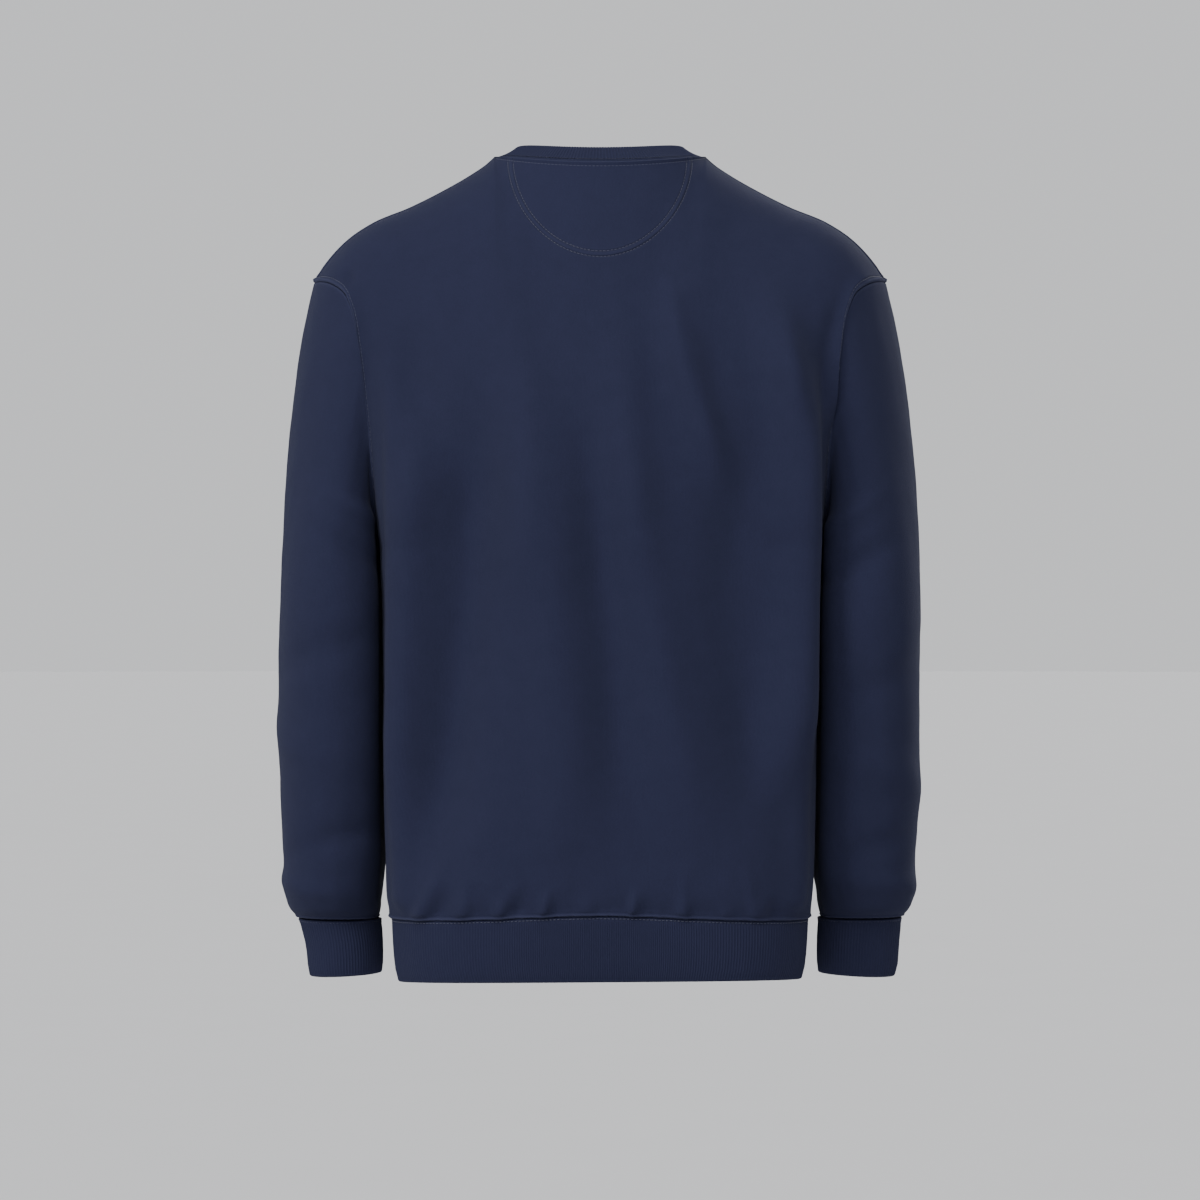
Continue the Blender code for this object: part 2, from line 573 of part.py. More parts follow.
def sleeve_surface(cuts, share, along):
    """The left sleeve before its folds: along is 0 at the armhole, 1 at its first level ring and 2 at
    the cuff.
    """
    start = armhole_loop(share)
    outward, panel_normal = sleeve_start(share)
    inward_part = np.minimum((outward * panel_normal).sum(axis=-1, keepdims=True), 0.0)
    start = start + unit(outward - panel_normal * inward_part) * SEAM_GAP
    level = SLEEVE_RING_Z + 0.0 * share
    end = sleeve_ring(cuts, share, level)
    end_low = sleeve_ring(cuts, share, level - STEP)
    span = length(end - start)
    upper_share = np.clip(along, 0.0, 1.0)
    upper = hermite(start, outward * span * SLEEVE_PULL, end, unit(end_low - end) * span,
                    upper_share[..., None])
    bottom = cuts[0].z
    z = SLEEVE_RING_Z + (bottom - SLEEVE_RING_Z) * np.clip(along - 1.0, 0.0, 1.0)
    lower = sleeve_ring(cuts, share, z)
    free = np.where((along > 1.0)[..., None], lower, upper)
    return clear_of_trunk(free, ease(0.0, BLEND_START, along))


def sleeve_points(side, share, along):
    """The outer points of a sleeve with its folds, mirrored for the right arm, and its normals."""
    cuts = SLEEVE[side]

    def surface(first, second):
        return sleeve_surface(cuts, first, second)
    base = surface(share, along)
    normals = normals_of(surface, share, along, -1.0)
    turn = share * 360.0
    lift = 0.0 * share
    for crease in SLEEVE_CREASES[side]:
        off = np.mod(turn - crease.turn + 180.0, 360.0) - 180.0
        line = crease.z - crease.slant * off
        across_fold = bell(base[..., 2] - line, crease.z_width)
        lift = lift + crease.height * bell(off, crease.turn_width) * across_fold
    free_side = 1.0 - bell(np.mod(turn, 360.0) - 180.0, 45.0)
    lift = lift * ease(0.0, 0.20, along) * ease(2.0, 1.94, along) * free_side
    outward, panel_normal = sleeve_start(share)
    bends_in = (outward * panel_normal).sum(axis=-1, keepdims=True) < 0.0
    normals = np.where(bends_in & (along <= 0.0)[..., None], panel_normal, normals)
    mirror = point(SIDES[side], 1.0, 1.0)
    return (base + normals * lift[..., None]) * mirror, normals * mirror


# ---------------------------------------------------------------- solids
def add_part(name, vertices, faces, colour, parent):
    """A closed solid of its own, with its own material."""
    mesh = bpy.data.meshes.new(name)
    mesh.from_pydata([tuple(vertex) for vertex in vertices], [], faces)
    shape = bmesh.new()
    shape.from_mesh(mesh)
    bmesh.ops.recalc_face_normals(shape, faces=shape.faces)
    shape.to_mesh(mesh)
    shape.free()
    mesh.shade_smooth()
    mesh.set_sharp_from_angle(angle=math.radians(50.0))
    material = bpy.data.materials.new(name + "_cloth")
    material.use_nodes = True
    shader = material.node_tree.nodes["Principled BSDF"]
    shader.inputs["Base Color"].default_value = colour
    shader.inputs["Roughness"].default_value = 0.9
    shader.inputs["Metallic"].default_value = 0.0
    mesh.materials.append(material)
    part = bpy.data.objects.new(name, mesh)
    bpy.context.scene.collection.objects.link(part)
    part.parent = parent
    return part


def quad_rows(rows, columns, start, wrap, flip):
    """Faces between the rows of a grid whose first point is number start."""
    faces = []
    last = columns if wrap else columns - 1
    for row in range(rows - 1):
        for place in range(last):
            right = (place + 1) % columns
            corners = (start + row * columns + place, start + row * columns + right,
                       start + (row + 1) * columns + right, start + (row + 1) * columns + place)
            faces.append(corners[::-1] if flip else corners)
    return faces


def wall(outer, inner, wrap):
    """The points and faces of a wall between two grids, closed along its edges."""
    rows, columns = outer.shape[:2]
    count = rows * columns
    faces = quad_rows(rows, columns, 0, wrap, False) + quad_rows(rows, columns, count, wrap, True)
    edges = [[(row, place) for place in range(columns)] for row in (0, rows - 1)]
    if not wrap:
        edges += [[(row, place) for row in range(rows)] for place in (0, columns - 1)]
    for edge in edges:
        numbers = [row * columns + place for row, place in edge]
        following = numbers[1:] + numbers[:1] if wrap else numbers[1:]
        for one, two in zip(numbers, following):
            faces.append((one, two, two + count, one + count))
    points = np.concatenate((outer.reshape(-1, 3), inner.reshape(-1, 3)))
    return points, faces


def tube(rings):
    """A band whose cut is a closed outline, from one ring of points for each of its corners."""
    corners, columns = rings.shape[:2]
    faces = quad_rows(corners, columns, 0, True, False)
    last = (corners - 1) * columns
    for place in range(columns):
        right = (place + 1) % columns
        faces.append((last + place, last + right, right, place))
    return rings.reshape(-1, 3), faces


def columns_across(facing):
    """Where a panel's columns stand; one stands at each end of its neck."""
    cells = PANEL_CELLS[facing][0]
    across = np.linspace(-SEAM_EDGE, SEAM_EDGE, cells + 1)
    neck_end = np.argmin(abs(across + NECK_SHARE))
    across[neck_end] = -NECK_SHARE
    across[cells - neck_end] = NECK_SHARE
    return across


def rows_above_underarm(facing):
    """Shares of the way up an armhole at which a panel has rows."""
    cells = PANEL_CELLS[facing][1]
    return np.linspace(0.0, 1.0, cells - cells // 2 + 1)


def panel_grid(facing):
    cells = PANEL_CELLS[facing][1]
    lower = np.linspace(0.0, 1.0, cells // 2 + 1) ** CROWDING
    along = np.concatenate((lower, 1.0 + rows_above_underarm(facing)[1:]))
    return np.meshgrid(columns_across(facing), along)


def trunk_panel(name, facing, parent):
    across, along = panel_grid(facing)
    outer, normals = panel_points(across, along, facing)
    at_shoulder = (along >= 2.0) & (abs(across) >= NECK_SHARE)
    outer = outer + point(0.0, facing * SEAM_GAP / 2.0, 0.0) * at_shoulder[..., None]
    points, faces = wall(outer, outer - normals * FLEECE, False)
    return add_part(name, points, faces, NAVY, parent)


def sleeve(side, parent):
    behind = (1.0 - rows_above_underarm(1)[::-1]) / 2.0
    before = 0.5 + rows_above_underarm(-1)[1:-1] / 2.0
    upper = np.linspace(0.0, 1.0, SLEEVE_CELLS // 2 + 1)
    lower = 2.0 - (1.0 - upper[1:]) ** CROWDING
    share, along = np.meshgrid(np.concatenate((behind, before)), np.concatenate((upper, lower)))
    outer, normals = sleeve_points(side, share, along)
    points, faces = wall(outer, outer - normals * FLEECE, True)
    return add_part("sleeve_" + side, points, faces, NAVY, parent)


def band_profile(top, bottom, thickness):
    """Corners of a doubled band's cut: how far along it, and how far in from its outer face."""
    round_over = thickness * 0.35
    return ((top, 0.0), ((top + bottom) / 2.0, 0.0), (bottom - round_over, 0.0),
            (bottom, round_over), (bottom, thickness - round_over), (bottom - round_over, thickness),
            ((top + bottom) / 2.0, thickness), (top, thickness))


def waistband(parent):
    angle = np.arange(WAISTBAND_CELLS) / WAISTBAND_CELLS * 2.0 * math.pi
    seam = hem_seam_z(angle) - SEAM_GAP
    rings = []
    for level, inward in band_profile(HEM_SEAM_Z, HEM_Z, RIB):
        share = (level - HEM_SEAM_Z) / (HEM_Z - HEM_SEAM_Z)
        z = seam + (hem_z(angle) - seam) * share
        ring = trunk_ring(WAISTBAND, angle, z, level + 0.0 * angle)
        rings.append(ring - unit(ring * WAISTBAND_INWARD) * inward)
    points, faces = tube(np.array(rings))
    return add_part("waistband", points, faces, RIB_NAVY, parent)


def cuff(side, parent):
    cuts = CUFF[side]
    share = np.arange(CUFF_CELLS) / CUFF_CELLS
    top = cuts[-1].z - SEAM_GAP
    bottom = cuts[0].z
    rings = []
    for level, inward in band_profile(top, bottom, RIB):
        ring = sleeve_ring(cuts, share, level + 0.0 * share, CUFF_SQUARE)
        middle = ring.mean(axis=0)
        ring = ring - unit(ring - middle) * inward
        tilt = CUFF_TILT * np.cos(share * 2.0 * math.pi) * (top - level) / (top - bottom)
        ring = ring - point(0.0, 0.0, tilt)
        rings.append(ring * point(SIDES[side], 1.0, 1.0))
    points, faces = tube(np.array(rings))
    return add_part("cuff_" + side, points, faces, RIB_NAVY, parent)


def collar_lean(turn, along):
    """How far the collar's face has come from the neck seam, and its outward side there."""
    cosine = np.cos(turn)
    inward = unit(point(-np.sin(turn), -cosine, 0.0))
    up = point(0.0 * turn, 0.0, 1.0)
    at_ends = np.where(cosine > 0.0, COLLAR_RISE_BACK, COLLAR_RISE_FRONT)
    rise = COLLAR_RISE_SIDE + (at_ends - COLLAR_RISE_SIDE) * abs(cosine)
    curl = COLLAR_CURL * (1.0 - abs(cosine))
    low, high = (inward * np.sqrt(1.0 - steep ** 2)[..., None] + up * steep[..., None]
                 for steep in (rise - curl, rise + curl))
    share = along / COLLAR_WIDTH
    way = (low * (share - share ** 2 / 2.0) + high * share ** 2 / 2.0) * COLLAR_WIDTH
    lean = unit(low * (1.0 - share) + high * share)
    steep = lean[..., 2:3]
    return way, unit(-inward * steep + up * np.sqrt(1.0 - steep ** 2))


def neck_seam(turn):
    """The collar's edge at the neck seam, just off the panels, and the panels' normal there."""
    behind = turn <= math.pi / 2.0
    across = np.where(behind, turn, math.pi - turn) / (math.pi / 2.0) * NECK_SHARE
    top = 2.0 + 0.0 * across
    normals = np.where(behind[..., None], panel_normals(across, top, 1), panel_normals(across, top, -1))
    seam_line = neck_point(turn + STEP) - neck_point(turn - STEP)
    off_panel = unit(np.cross(seam_line, normals))
    return neck_point(turn) + off_panel * COLLAR_GAP, normals


def neck_turns(facing):
    """Turns round the neck seam, from its middle, at which a panel has columns."""
    across = columns_across(facing)
    return across[abs(across) <= NECK_SHARE] / NECK_SHARE * math.pi / 2.0


def collar(parent):
    turn = np.concatenate((neck_turns(1), math.pi - neck_turns(-1)[-2:0:-1]))
    around = np.where(turn < 0.0, -turn, np.where(turn > math.pi, 2.0 * math.pi - turn, turn))
    mirror = point(np.where((turn < 0.0) | (turn > math.pi), -1.0, 1.0), 1.0, 1.0)
    base, seam_normal = neck_seam(around)
    rings = []
    for along, inward in band_profile(0.0, COLLAR_WIDTH, RIB):
        way, outward = collar_lean(around, along)
        side = seam_normal if along == 0.0 else outward
        rings.append((base + way - side * inward) * mirror)
    points, faces = tube(np.array(rings))
    return add_part("collar", points, faces, RIB_NAVY, parent)


def find_on_back(x, z):
    """The place on the back panel whose point lies at (x, z), found by Newton's steps."""
    across = x / 0.20
    along = 2.0 + z * 3.0
    for _ in range(12):
        here = panel_surface(across, along, 1)
        by_across = (panel_surface(across - STEP, along, 1) - here) / -STEP
        by_along = (panel_surface(across, along - STEP, 1) - here) / -STEP
        miss_x = x - here[..., 0]
        miss_z = z - here[..., 2]
        scale = by_across[..., 0] * by_along[..., 2] - by_along[..., 0] * by_across[..., 2]
        across = across + (miss_x * by_along[..., 2] - miss_z * by_along[..., 0]) / scale
        along = along + (miss_z * by_across[..., 0] - miss_x * by_across[..., 2]) / scale
        along = np.clip(along, 1.0, 2.0 - STEP)
    return across, along


def neck_patch(parent):
    across_cells, down_cells = PATCH_CELLS
    angle = np.linspace(-PATCH_ARC, PATCH_ARC, across_cells + 1)
    share, down = np.meshgrid(angle, np.linspace(0.0, 1.0, down_cells + 1))
    x = PATCH_HALF_WIDTH * np.sin(share)
    turn = np.arcsin(x / NECK_HALF_WIDTH)
    top = neck_point(turn)[..., 2] - PATCH_BELOW_SEAM
    z = top - PATCH_DEPTH * np.cos(share) * down
    across, along = find_on_back(x, z)
    outer, normals = panel_points(across, along, 1)
    clearance = PATCH_CLEARANCE + PATCH_END_CLEARANCE * np.sin(share) ** 4
    face = outer - normals * (FLEECE + clearance)[..., None]
    points, faces = wall(face, face - normals * PATCH_WALL, False)
    return add_part("neck_patch", points, faces, NAVY, parent)


def build():
    for old in list(bpy.data.objects):
        bpy.data.objects.remove(old, do_unlink=True)
    garment = bpy.data.objects.new("sweatshirt", None)
    bpy.context.scene.collection.objects.link(garment)
    trunk_panel("back_panel", 1, garment)
    trunk_panel("front_panel", -1, garment)
    neck_patch(garment)
    collar(garment)
    waistband(garment)
    for side in SIDES:
        sleeve(side, garment)
        cuff(side, garment)


build()
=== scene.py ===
"""The looks of a crewneck sweatshirt, filled out as if worn, with nobody inside it.

Metres, +Z up. The front faces -Y and the wearer's left side is +X. Each piece is the surface of its solid,
worked out again from the same sizes in finer steps, with smaller folds, rolled seams, ribs and stitches.

Across a trunk panel, `across` runs from -1 at the wearer's right to +1 at the left. Along it, `along`
runs from 0 at the waistband to 1 at the underarm and 2 at the shoulder or the neck. Round a sleeve,
`share` runs from 0 at the shoulder seam by the back to 0.5 at the underarm and by the front to 1.
"""

import math
from collections import namedtuple
from functools import partial

import bmesh
import bpy
import numpy as np
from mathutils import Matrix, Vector


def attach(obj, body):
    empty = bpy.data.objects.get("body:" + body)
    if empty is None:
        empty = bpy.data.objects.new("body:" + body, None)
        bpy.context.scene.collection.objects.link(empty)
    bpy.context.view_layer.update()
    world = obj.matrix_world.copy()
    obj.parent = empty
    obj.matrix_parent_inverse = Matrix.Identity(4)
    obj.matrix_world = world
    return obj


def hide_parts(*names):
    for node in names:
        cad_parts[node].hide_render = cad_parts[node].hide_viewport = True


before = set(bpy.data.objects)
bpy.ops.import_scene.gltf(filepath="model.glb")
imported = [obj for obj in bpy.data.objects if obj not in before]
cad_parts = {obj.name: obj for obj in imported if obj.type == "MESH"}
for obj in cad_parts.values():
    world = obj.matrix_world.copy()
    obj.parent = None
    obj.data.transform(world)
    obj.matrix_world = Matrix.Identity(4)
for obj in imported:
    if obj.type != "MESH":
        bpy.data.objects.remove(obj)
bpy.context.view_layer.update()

BACK, FRONT = 1, -1        # which way a trunk panel faces
QUARTER_TURN = math.pi / 2.0
FULL_TURN = 2.0 * math.pi

# ---------------------------------------------------------------- sizes
FLEECE = 0.002             # thickness of the brushed fleece
RIB = 0.003                # thickness of a doubled rib band
SEAM_GAP = 0.0003          # space between two pieces at a seam
STEP = 1e-4                # small step that measures a surface's slope
HALF_GIRTH = 0.58          # half way round the trunk
SEAM_EDGE = 1.0 - SEAM_GAP / HALF_GIRTH   # a panel ends just short of its side seams

UNDERARM_Z = -0.332
HEM_SEAM_BACK_Z = -0.636   # the waistband's seam rises a little at the middle of the back
HEM_SEAM_Z = -0.6435
HEM_Z = -0.698             # its lower edge at the side seams, the middle of the back and the front
HEM_BACK_Z = -0.691
HEM_FRONT_Z = -0.693
HEM_TILT = 0.0012          # it hangs lower by this at the left and higher at the right

NECK_SHARE = 0.45          # share of a panel's top edge that is the neck
NECK_RISE = 2.35           # slope at which the cloth meets the middle of the neck
NECK_HALF_WIDTH = 0.0893
NECK_BACK = 0.07           # from the shoulder seams to the middle of the back neck
NECK_FRONT = 0.08
NECK_BACK_DROP = 0.0096
NECK_FRONT_DROP = 0.078
NECK_FRONT_ROUND = 0.7     # 0 gives a pointed front neck
SHOULDER_Y = -0.006
NECK_SOFTNESS = 0.08       # across a panel, how far its threads even out below the neck's ends

COLLAR_WIDTH = 0.0205
COLLAR_GAP = 0.0007        # a little more than at other seams, as the neck's edge twists
COLLAR_RISE_SIDE = 0.405   # how steeply the collar stands at the sides, the back and the front
COLLAR_RISE_BACK = 0.66
COLLAR_RISE_FRONT = 0.8
COLLAR_CURL = 0.255        # how much less steeply it leaves its seam at the sides, and more at its edge
WAISTBAND_INWARD = (1.0, 2.2, 0.0)   # turns a radius of the wide waistband toward its own normal

BLEND_START = 0.36         # where a sleeve's free shape begins to give way to the trunk beside it
SLEEVE_CLEARANCE = 0.0012
SLEEVE_SOFTNESS = 0.007    # how gently a sleeve flattens against the trunk
SLEEVE_RING_Z = -0.4       # below this height a sleeve's rings are level
SLEEVE_SQUARE = 2.15       # a sleeve's rings are a little squarer than an ellipse
CUFF_SQUARE = 2.0
SLEEVE_PULL = 0.9          # how strongly a sleeve's cloth keeps its direction as it leaves the armhole
HANGING_LEAN = 0.5         # how far the cloth leans out as it hangs from the underarm
SLEEVE_DROP = 0.35         # how much a sleeve turns down at once where it leaves the armhole
SHOULDER_DROP = 0.9        # and how much more it does so at the top of the shoulder

SHOULDER_FROM = 0.7        # up the armhole, where a sleeve begins to turn down over the shoulder
HANGING_FROM = 0.05        # and where its hanging cloth under the arm begins and ends to change
HANGING_TO = 0.45
CREASE_START = 0.2         # along a sleeve, creases have all their height from here
CREASE_END = 1.94          # to here,
CREASE_GAP = 45.0          # and die away within these degrees of the side by the trunk
GUESS_WIDTH = 0.2          # a first guess of a place near the neck: x by this is across,
GUESS_RISE = 3.0           # and z times this is along
NEWTON_STEPS = 12
EVENING_FADE = 0.25        # threads are evened out less over this share at each end
# the threads that one is evened out with, at shares of the reach to each side, and their weights
EVENING = ((-1.0, 0.0625), (-0.5, 0.25), (0.0, 0.375), (0.5, 0.25), (1.0, 0.0625))

ARMHOLE_EASE_START = 0.4   # across a panel, where the shape of its armhole begins to show
FOLD_SIDE = 0.66           # across a panel, folds die away from here
FOLD_SIDE_END = 0.87       # to here, before the side seams and the armholes,
FOLD_TOP = 1.8             # from here to the shoulders and the neck,
FOLD_RISE = 0.05           # and within this height of the waistband
GATHER_FULL = 0.25         # a gather keeps its full height over this share of its length

# height, half the width, and the depth behind and before the side seams; square rounds the corners
Ring = namedtuple("Ring", "z half_width back front square")
TRUNK = [Ring(*row) for row in (
    (-0.6435, 0.1772, 0.107, 0.1165, 3.3),
    (-0.63, 0.1795, 0.1115, 0.1235, 3.3),
    (-0.595, 0.1812, 0.113, 0.127, 3.3),
    (-0.53, 0.1828, 0.1125, 0.129, 3.25),
    (-0.45, 0.1838, 0.112, 0.131, 3.2),
    (-0.38, 0.1845, 0.113, 0.134, 3.1),
    (-0.332, 0.1865, 0.115, 0.1355, 3.0),
    (-0.26, 0.19, 0.117, 0.134, 2.9),
)]
WAISTBAND = [Ring(*row) for row in (
    (-0.698, 0.1705, 0.104, 0.113, 3.2),
    (-0.692, 0.1722, 0.1055, 0.1145, 3.2),
    (-0.666, 0.1752, 0.1072, 0.1165, 3.25),
    (-0.6435, 0.1762, 0.1065, 0.116, 3.3),
)]

# How the cloth arches over the shoulders, for the back and the front: how fast its slope
# grows inward of the neck's ends, and how wide the arch is at four places across the panel
Arch = namedtuple("Arch", "rise middle neck_end shoulder tip")
ARCH = {BACK: Arch(1.42, 0.9, 0.8, 0.92, 0.95), FRONT: Arch(2.95, 0.8, 0.6, 0.85, 0.95)}
ARCH_ACROSS = (0.0, NECK_SHARE, 0.72, 1.0)

# the shoulder seam, from the neck to the armhole, as places (x, y, z)
SHOULDER = (
    (0.0893, -0.006, 0.0), (0.096, -0.006, -0.006), (0.1097, -0.006, -0.0153),
    (0.1335, -0.006, -0.0289), (0.1607, -0.006, -0.0425), (0.193, -0.005, -0.0561),
    (0.2134, -0.004, -0.0697), (0.227, -0.003, -0.0833), (0.2363, -0.002, -0.0955),
    (0.243, -0.002, -0.106),
)
# the armhole seam, from the underarm up to the shoulder seam
ARMHOLE = {
    BACK: (
        (0.1865, 0.0, -0.332), (0.188, 0.026, -0.313), (0.1895, 0.045, -0.282),
        (0.1915, 0.057, -0.248), (0.195, 0.064, -0.212), (0.2005, 0.066, -0.168),
        (0.206, 0.062, -0.138), (0.214, 0.053, -0.119), (0.226, 0.039, -0.11),
        (0.237, 0.019, -0.1065), (0.243, -0.002, -0.106),
    ),
    FRONT: (
        (0.1865, 0.0, -0.332), (0.186, -0.026, -0.313), (0.1845, -0.046, -0.282),
        (0.185, -0.06, -0.248), (0.188, -0.068, -0.212), (0.196, -0.07, -0.168),
        (0.204, -0.066, -0.138), (0.213, -0.057, -0.119), (0.2255, -0.042, -0.11),
        (0.237, -0.023, -0.1065), (0.243, -0.002, -0.106),
    ),
}

# a sleeve's level rings: how far they reach out from and in to the trunk, back and forward
Cut = namedtuple("Cut", "z outer inner back front")
SLEEVE = {
    "left": [Cut(*row) for row in (
        (-0.648, 0.2592, 0.1868, 0.006, -0.066),
        (-0.64, 0.2648, 0.1855, 0.017, -0.074),
        (-0.63, 0.268, 0.1845, 0.024, -0.079),
        (-0.6, 0.2705, 0.185, 0.033, -0.085),
        (-0.56, 0.2718, 0.1815, 0.042, -0.088),
        (-0.5, 0.2735, 0.178, 0.053, -0.09),
        (-0.45, 0.274, 0.177, 0.059, -0.09),
        (-0.4, 0.2726, 0.177, 0.064, -0.089),
        (-0.36, 0.2718, 0.1775, 0.067, -0.087),
    )],
    "right": [Cut(*row) for row in (
        (-0.647, 0.2592, 0.1862, 0.006, -0.066),
        (-0.639, 0.2648, 0.1842, 0.017, -0.074),
        (-0.628, 0.268, 0.1822, 0.024, -0.079),
        (-0.6, 0.2695, 0.18, 0.033, -0.085),
        (-0.56, 0.2722, 0.1785, 0.042, -0.088),
        (-0.5, 0.2725, 0.1775, 0.053, -0.09),
        (-0.45, 0.2722, 0.177, 0.059, -0.09),
        (-0.4, 0.2728, 0.177, 0.064, -0.089),
        (-0.36, 0.2728, 0.1775, 0.067, -0.087),
    )],
}
CUFF = {
    "left": [Cut(*row) for row in (
        (-0.696, 0.2487, 0.187, 0.001, -0.06),
        (-0.69, 0.25, 0.1862, 0.0022, -0.0612),
        (-0.67, 0.2523, 0.186, 0.003, -0.062),
        (-0.656, 0.256, 0.1868, 0.003, -0.062),
        (-0.648, 0.258, 0.188, 0.003, -0.062),
    )],
    "right": [Cut(*row) for row in (
        (-0.696, 0.2525, 0.187, 0.001, -0.061),
        (-0.69, 0.2545, 0.1862, 0.0022, -0.0622),
        (-0.67, 0.2564, 0.1858, 0.003, -0.063),
        (-0.656, 0.2578, 0.1864, 0.003, -0.063),
        (-0.647, 0.2582, 0.1872, 0.003, -0.063),
    )],
}
CUFF_TILT = 0.0015         # how far a cuff's lower edge drops at its outer side and rises at its inner
SIDES = {"left": 1.0, "right": -1.0}

# half-moon of fleece inside the back neck
PATCH_HALF_WIDTH = 0.0765
PATCH_DEPTH = 0.08
PATCH_WALL = 0.001
PATCH_BELOW_SEAM = 0.0035
PATCH_ARC = math.radians(72.0)   # how far round its half circle the patch reaches to each side
PATCH_COLUMNS, PATCH_ROWS = 65, 33
PATCH_CLEARANCE = 0.0008
PATCH_END_CLEARANCE = 0.0012   # more at the patch's ends, where the panel is rounder than its faces

# Folds of the trunk: where the fold's line runs, its width, and its height (below zero for a trough).
# The line goes through (x, z) at its top, middle and bottom, and fades out over the share at each end.
Fold = namedtuple("Fold", "x_top z_top x_mid z_mid x_low z_low width height fade")
FOLDS = {
    BACK: [Fold(*row) for row in (
        (0.054, -0.15, 0.04, -0.376, 0.022, -0.64, 0.032, 0.0075, 0.3),
        (-0.014, -0.16, -0.042, -0.376, -0.09, -0.61, 0.024, 0.0052, 0.3),
        (-0.052, -0.1, -0.076, -0.2, -0.112, -0.31, 0.015, 0.0056, 0.4),
        (-0.14, -0.095, -0.172, -0.255, -0.152, -0.57, 0.021, 0.0125, 0.22),
        (-0.212, -0.11, -0.19, -0.2, -0.176, -0.3, 0.012, 0.0056, 0.4),
        (0.154, -0.19, 0.162, -0.4, 0.17, -0.625, 0.018, 0.009, 0.3),
        (0.102, -0.165, 0.114, -0.392, 0.146, -0.64, 0.026, -0.0105, 0.3),
        (0.015, -0.18, -0.003, -0.376, -0.028, -0.61, 0.018, -0.0032, 0.35),
        (-0.124, -0.18, -0.114, -0.36, -0.142, -0.6, 0.027, -0.0095, 0.35),
        (0.165, -0.12, 0.15, -0.2, 0.13, -0.29, 0.022, -0.0044, 0.45),
    )],
    FRONT: [Fold(*row) for row in (
        (0.08, -0.2, 0.088, -0.42, 0.072, -0.625, 0.026, 0.0075, 0.35),
        (-0.07, -0.19, -0.06, -0.4, -0.092, -0.63, 0.024, 0.0075, 0.35),
        (0.15, -0.17, 0.142, -0.3, 0.12, -0.43, 0.018, 0.0062, 0.4),
        (-0.152, -0.18, -0.146, -0.31, -0.126, -0.45, 0.018, 0.0062, 0.4),
        (0.01, -0.26, 0.016, -0.44, 0.008, -0.62, 0.026, -0.0069, 0.35),
        (0.13, -0.33, 0.138, -0.48, 0.13, -0.62, 0.018, -0.0056, 0.35),
        (-0.125, -0.35, -0.132, -0.49, -0.138, -0.625, 0.018, -0.0056, 0.35),
    )],
}
# Gathers above the waistband: how far from the middle, height of the gather's top, width and height
Gather = namedtuple("Gather", "x rise width height lean")
GATHERS = {
    BACK: [Gather(*row) for row in (
        (0.146, 0.022, 0.007, 0.0026, 0.1),
        (0.116, 0.026, 0.008, 0.003, 0.2),
        (0.085, 0.024, 0.007, 0.0026, 0.15),
        (0.047, 0.03, 0.006, 0.0032, 0.25),
        (0.012, 0.018, 0.007, 0.002, 0.1),
        (-0.027, 0.03, 0.006, 0.0032, 0.25),
        (-0.068, 0.024, 0.007, 0.0028, 0.2),
        (-0.104, 0.018, 0.007, 0.002, 0.1),
        (-0.13, 0.026, 0.007, 0.0028, 0.2),
    )],
    FRONT: [Gather(*row) for row in (
        (0.14, 0.022, 0.008, 0.0026, 0.0),
        (0.104, 0.026, 0.008, 0.003, -0.15),
        (0.06, 0.022, 0.007, 0.0026, -0.1),
        (0.022, 0.028, 0.007, 0.003, 0.1),
        (-0.03, 0.024, 0.007, 0.0028, 0.15),
        (-0.072, 0.022, 0.007, 0.0026, 0.1),
        (-0.116, 0.028, 0.008, 0.003, 0.1),
        (-0.148, 0.022, 0.008, 0.0024, 0.0),
    )],
}
# Folds round a sleeve: turn is 0 at its outer side, 90 at its back and 270 at its front, in degrees.
# A fold is a short ridge that crosses the sleeve at z and drops by slant for each degree of turn.
Crease = namedtuple("Crease", "turn z slant turn_width z_width height")
SLEEVE_CREASES = {
    "left": [Crease(*row) for row in (
        (118.0, -0.306, 0.0004, 34.0, 0.0075, 0.005),
        (112.0, -0.338, 0.0005, 34.0, 0.01, -0.0045),
        (80.0, -0.42, -0.0004, 50.0, 0.016, -0.003),
        (60.0, -0.5, 0.0003, 60.0, 0.016, 0.003),
        (100.0, -0.575, -0.0003, 60.0, 0.012, -0.003),
        (40.0, -0.618, 0.0001, 70.0, 0.009, 0.0026),
        (250.0, -0.33, 0.0004, 36.0, 0.01, 0.0045),
        (270.0, -0.44, -0.0006, 50.0, 0.013, -0.004),
        (280.0, -0.475, 0.0005, 55.0, 0.012, 0.0045),
        (290.0, -0.56, -0.0004, 60.0, 0.013, -0.0035),
    )],
    "right": [Crease(*row) for row in (
        (112.0, -0.312, 0.0005, 34.0, 0.008, 0.005),
        (104.0, -0.348, 0.0005, 36.0, 0.011, -0.0045),
        (70.0, -0.44, 0.0004, 55.0, 0.016, -0.003),
        (70.0, -0.52, -0.0003, 60.0, 0.016, 0.003),
        (90.0, -0.585, 0.0003, 60.0, 0.012, -0.003),
        (50.0, -0.617, -0.0001, 70.0, 0.009, 0.0026),
        (255.0, -0.336, 0.0005, 36.0, 0.01, 0.0045),
        (265.0, -0.43, 0.0006, 50.0, 0.013, -0.004),
        (275.0, -0.465, -0.0005, 55.0, 0.012, 0.0045),
        (285.0, -0.55, 0.0004, 60.0, 0.013, -0.0035),
    )],
}


# ---------------------------------------------------------------- curves and small helpers
def within(share):
    return np.clip(share, 0.0, 1.0)


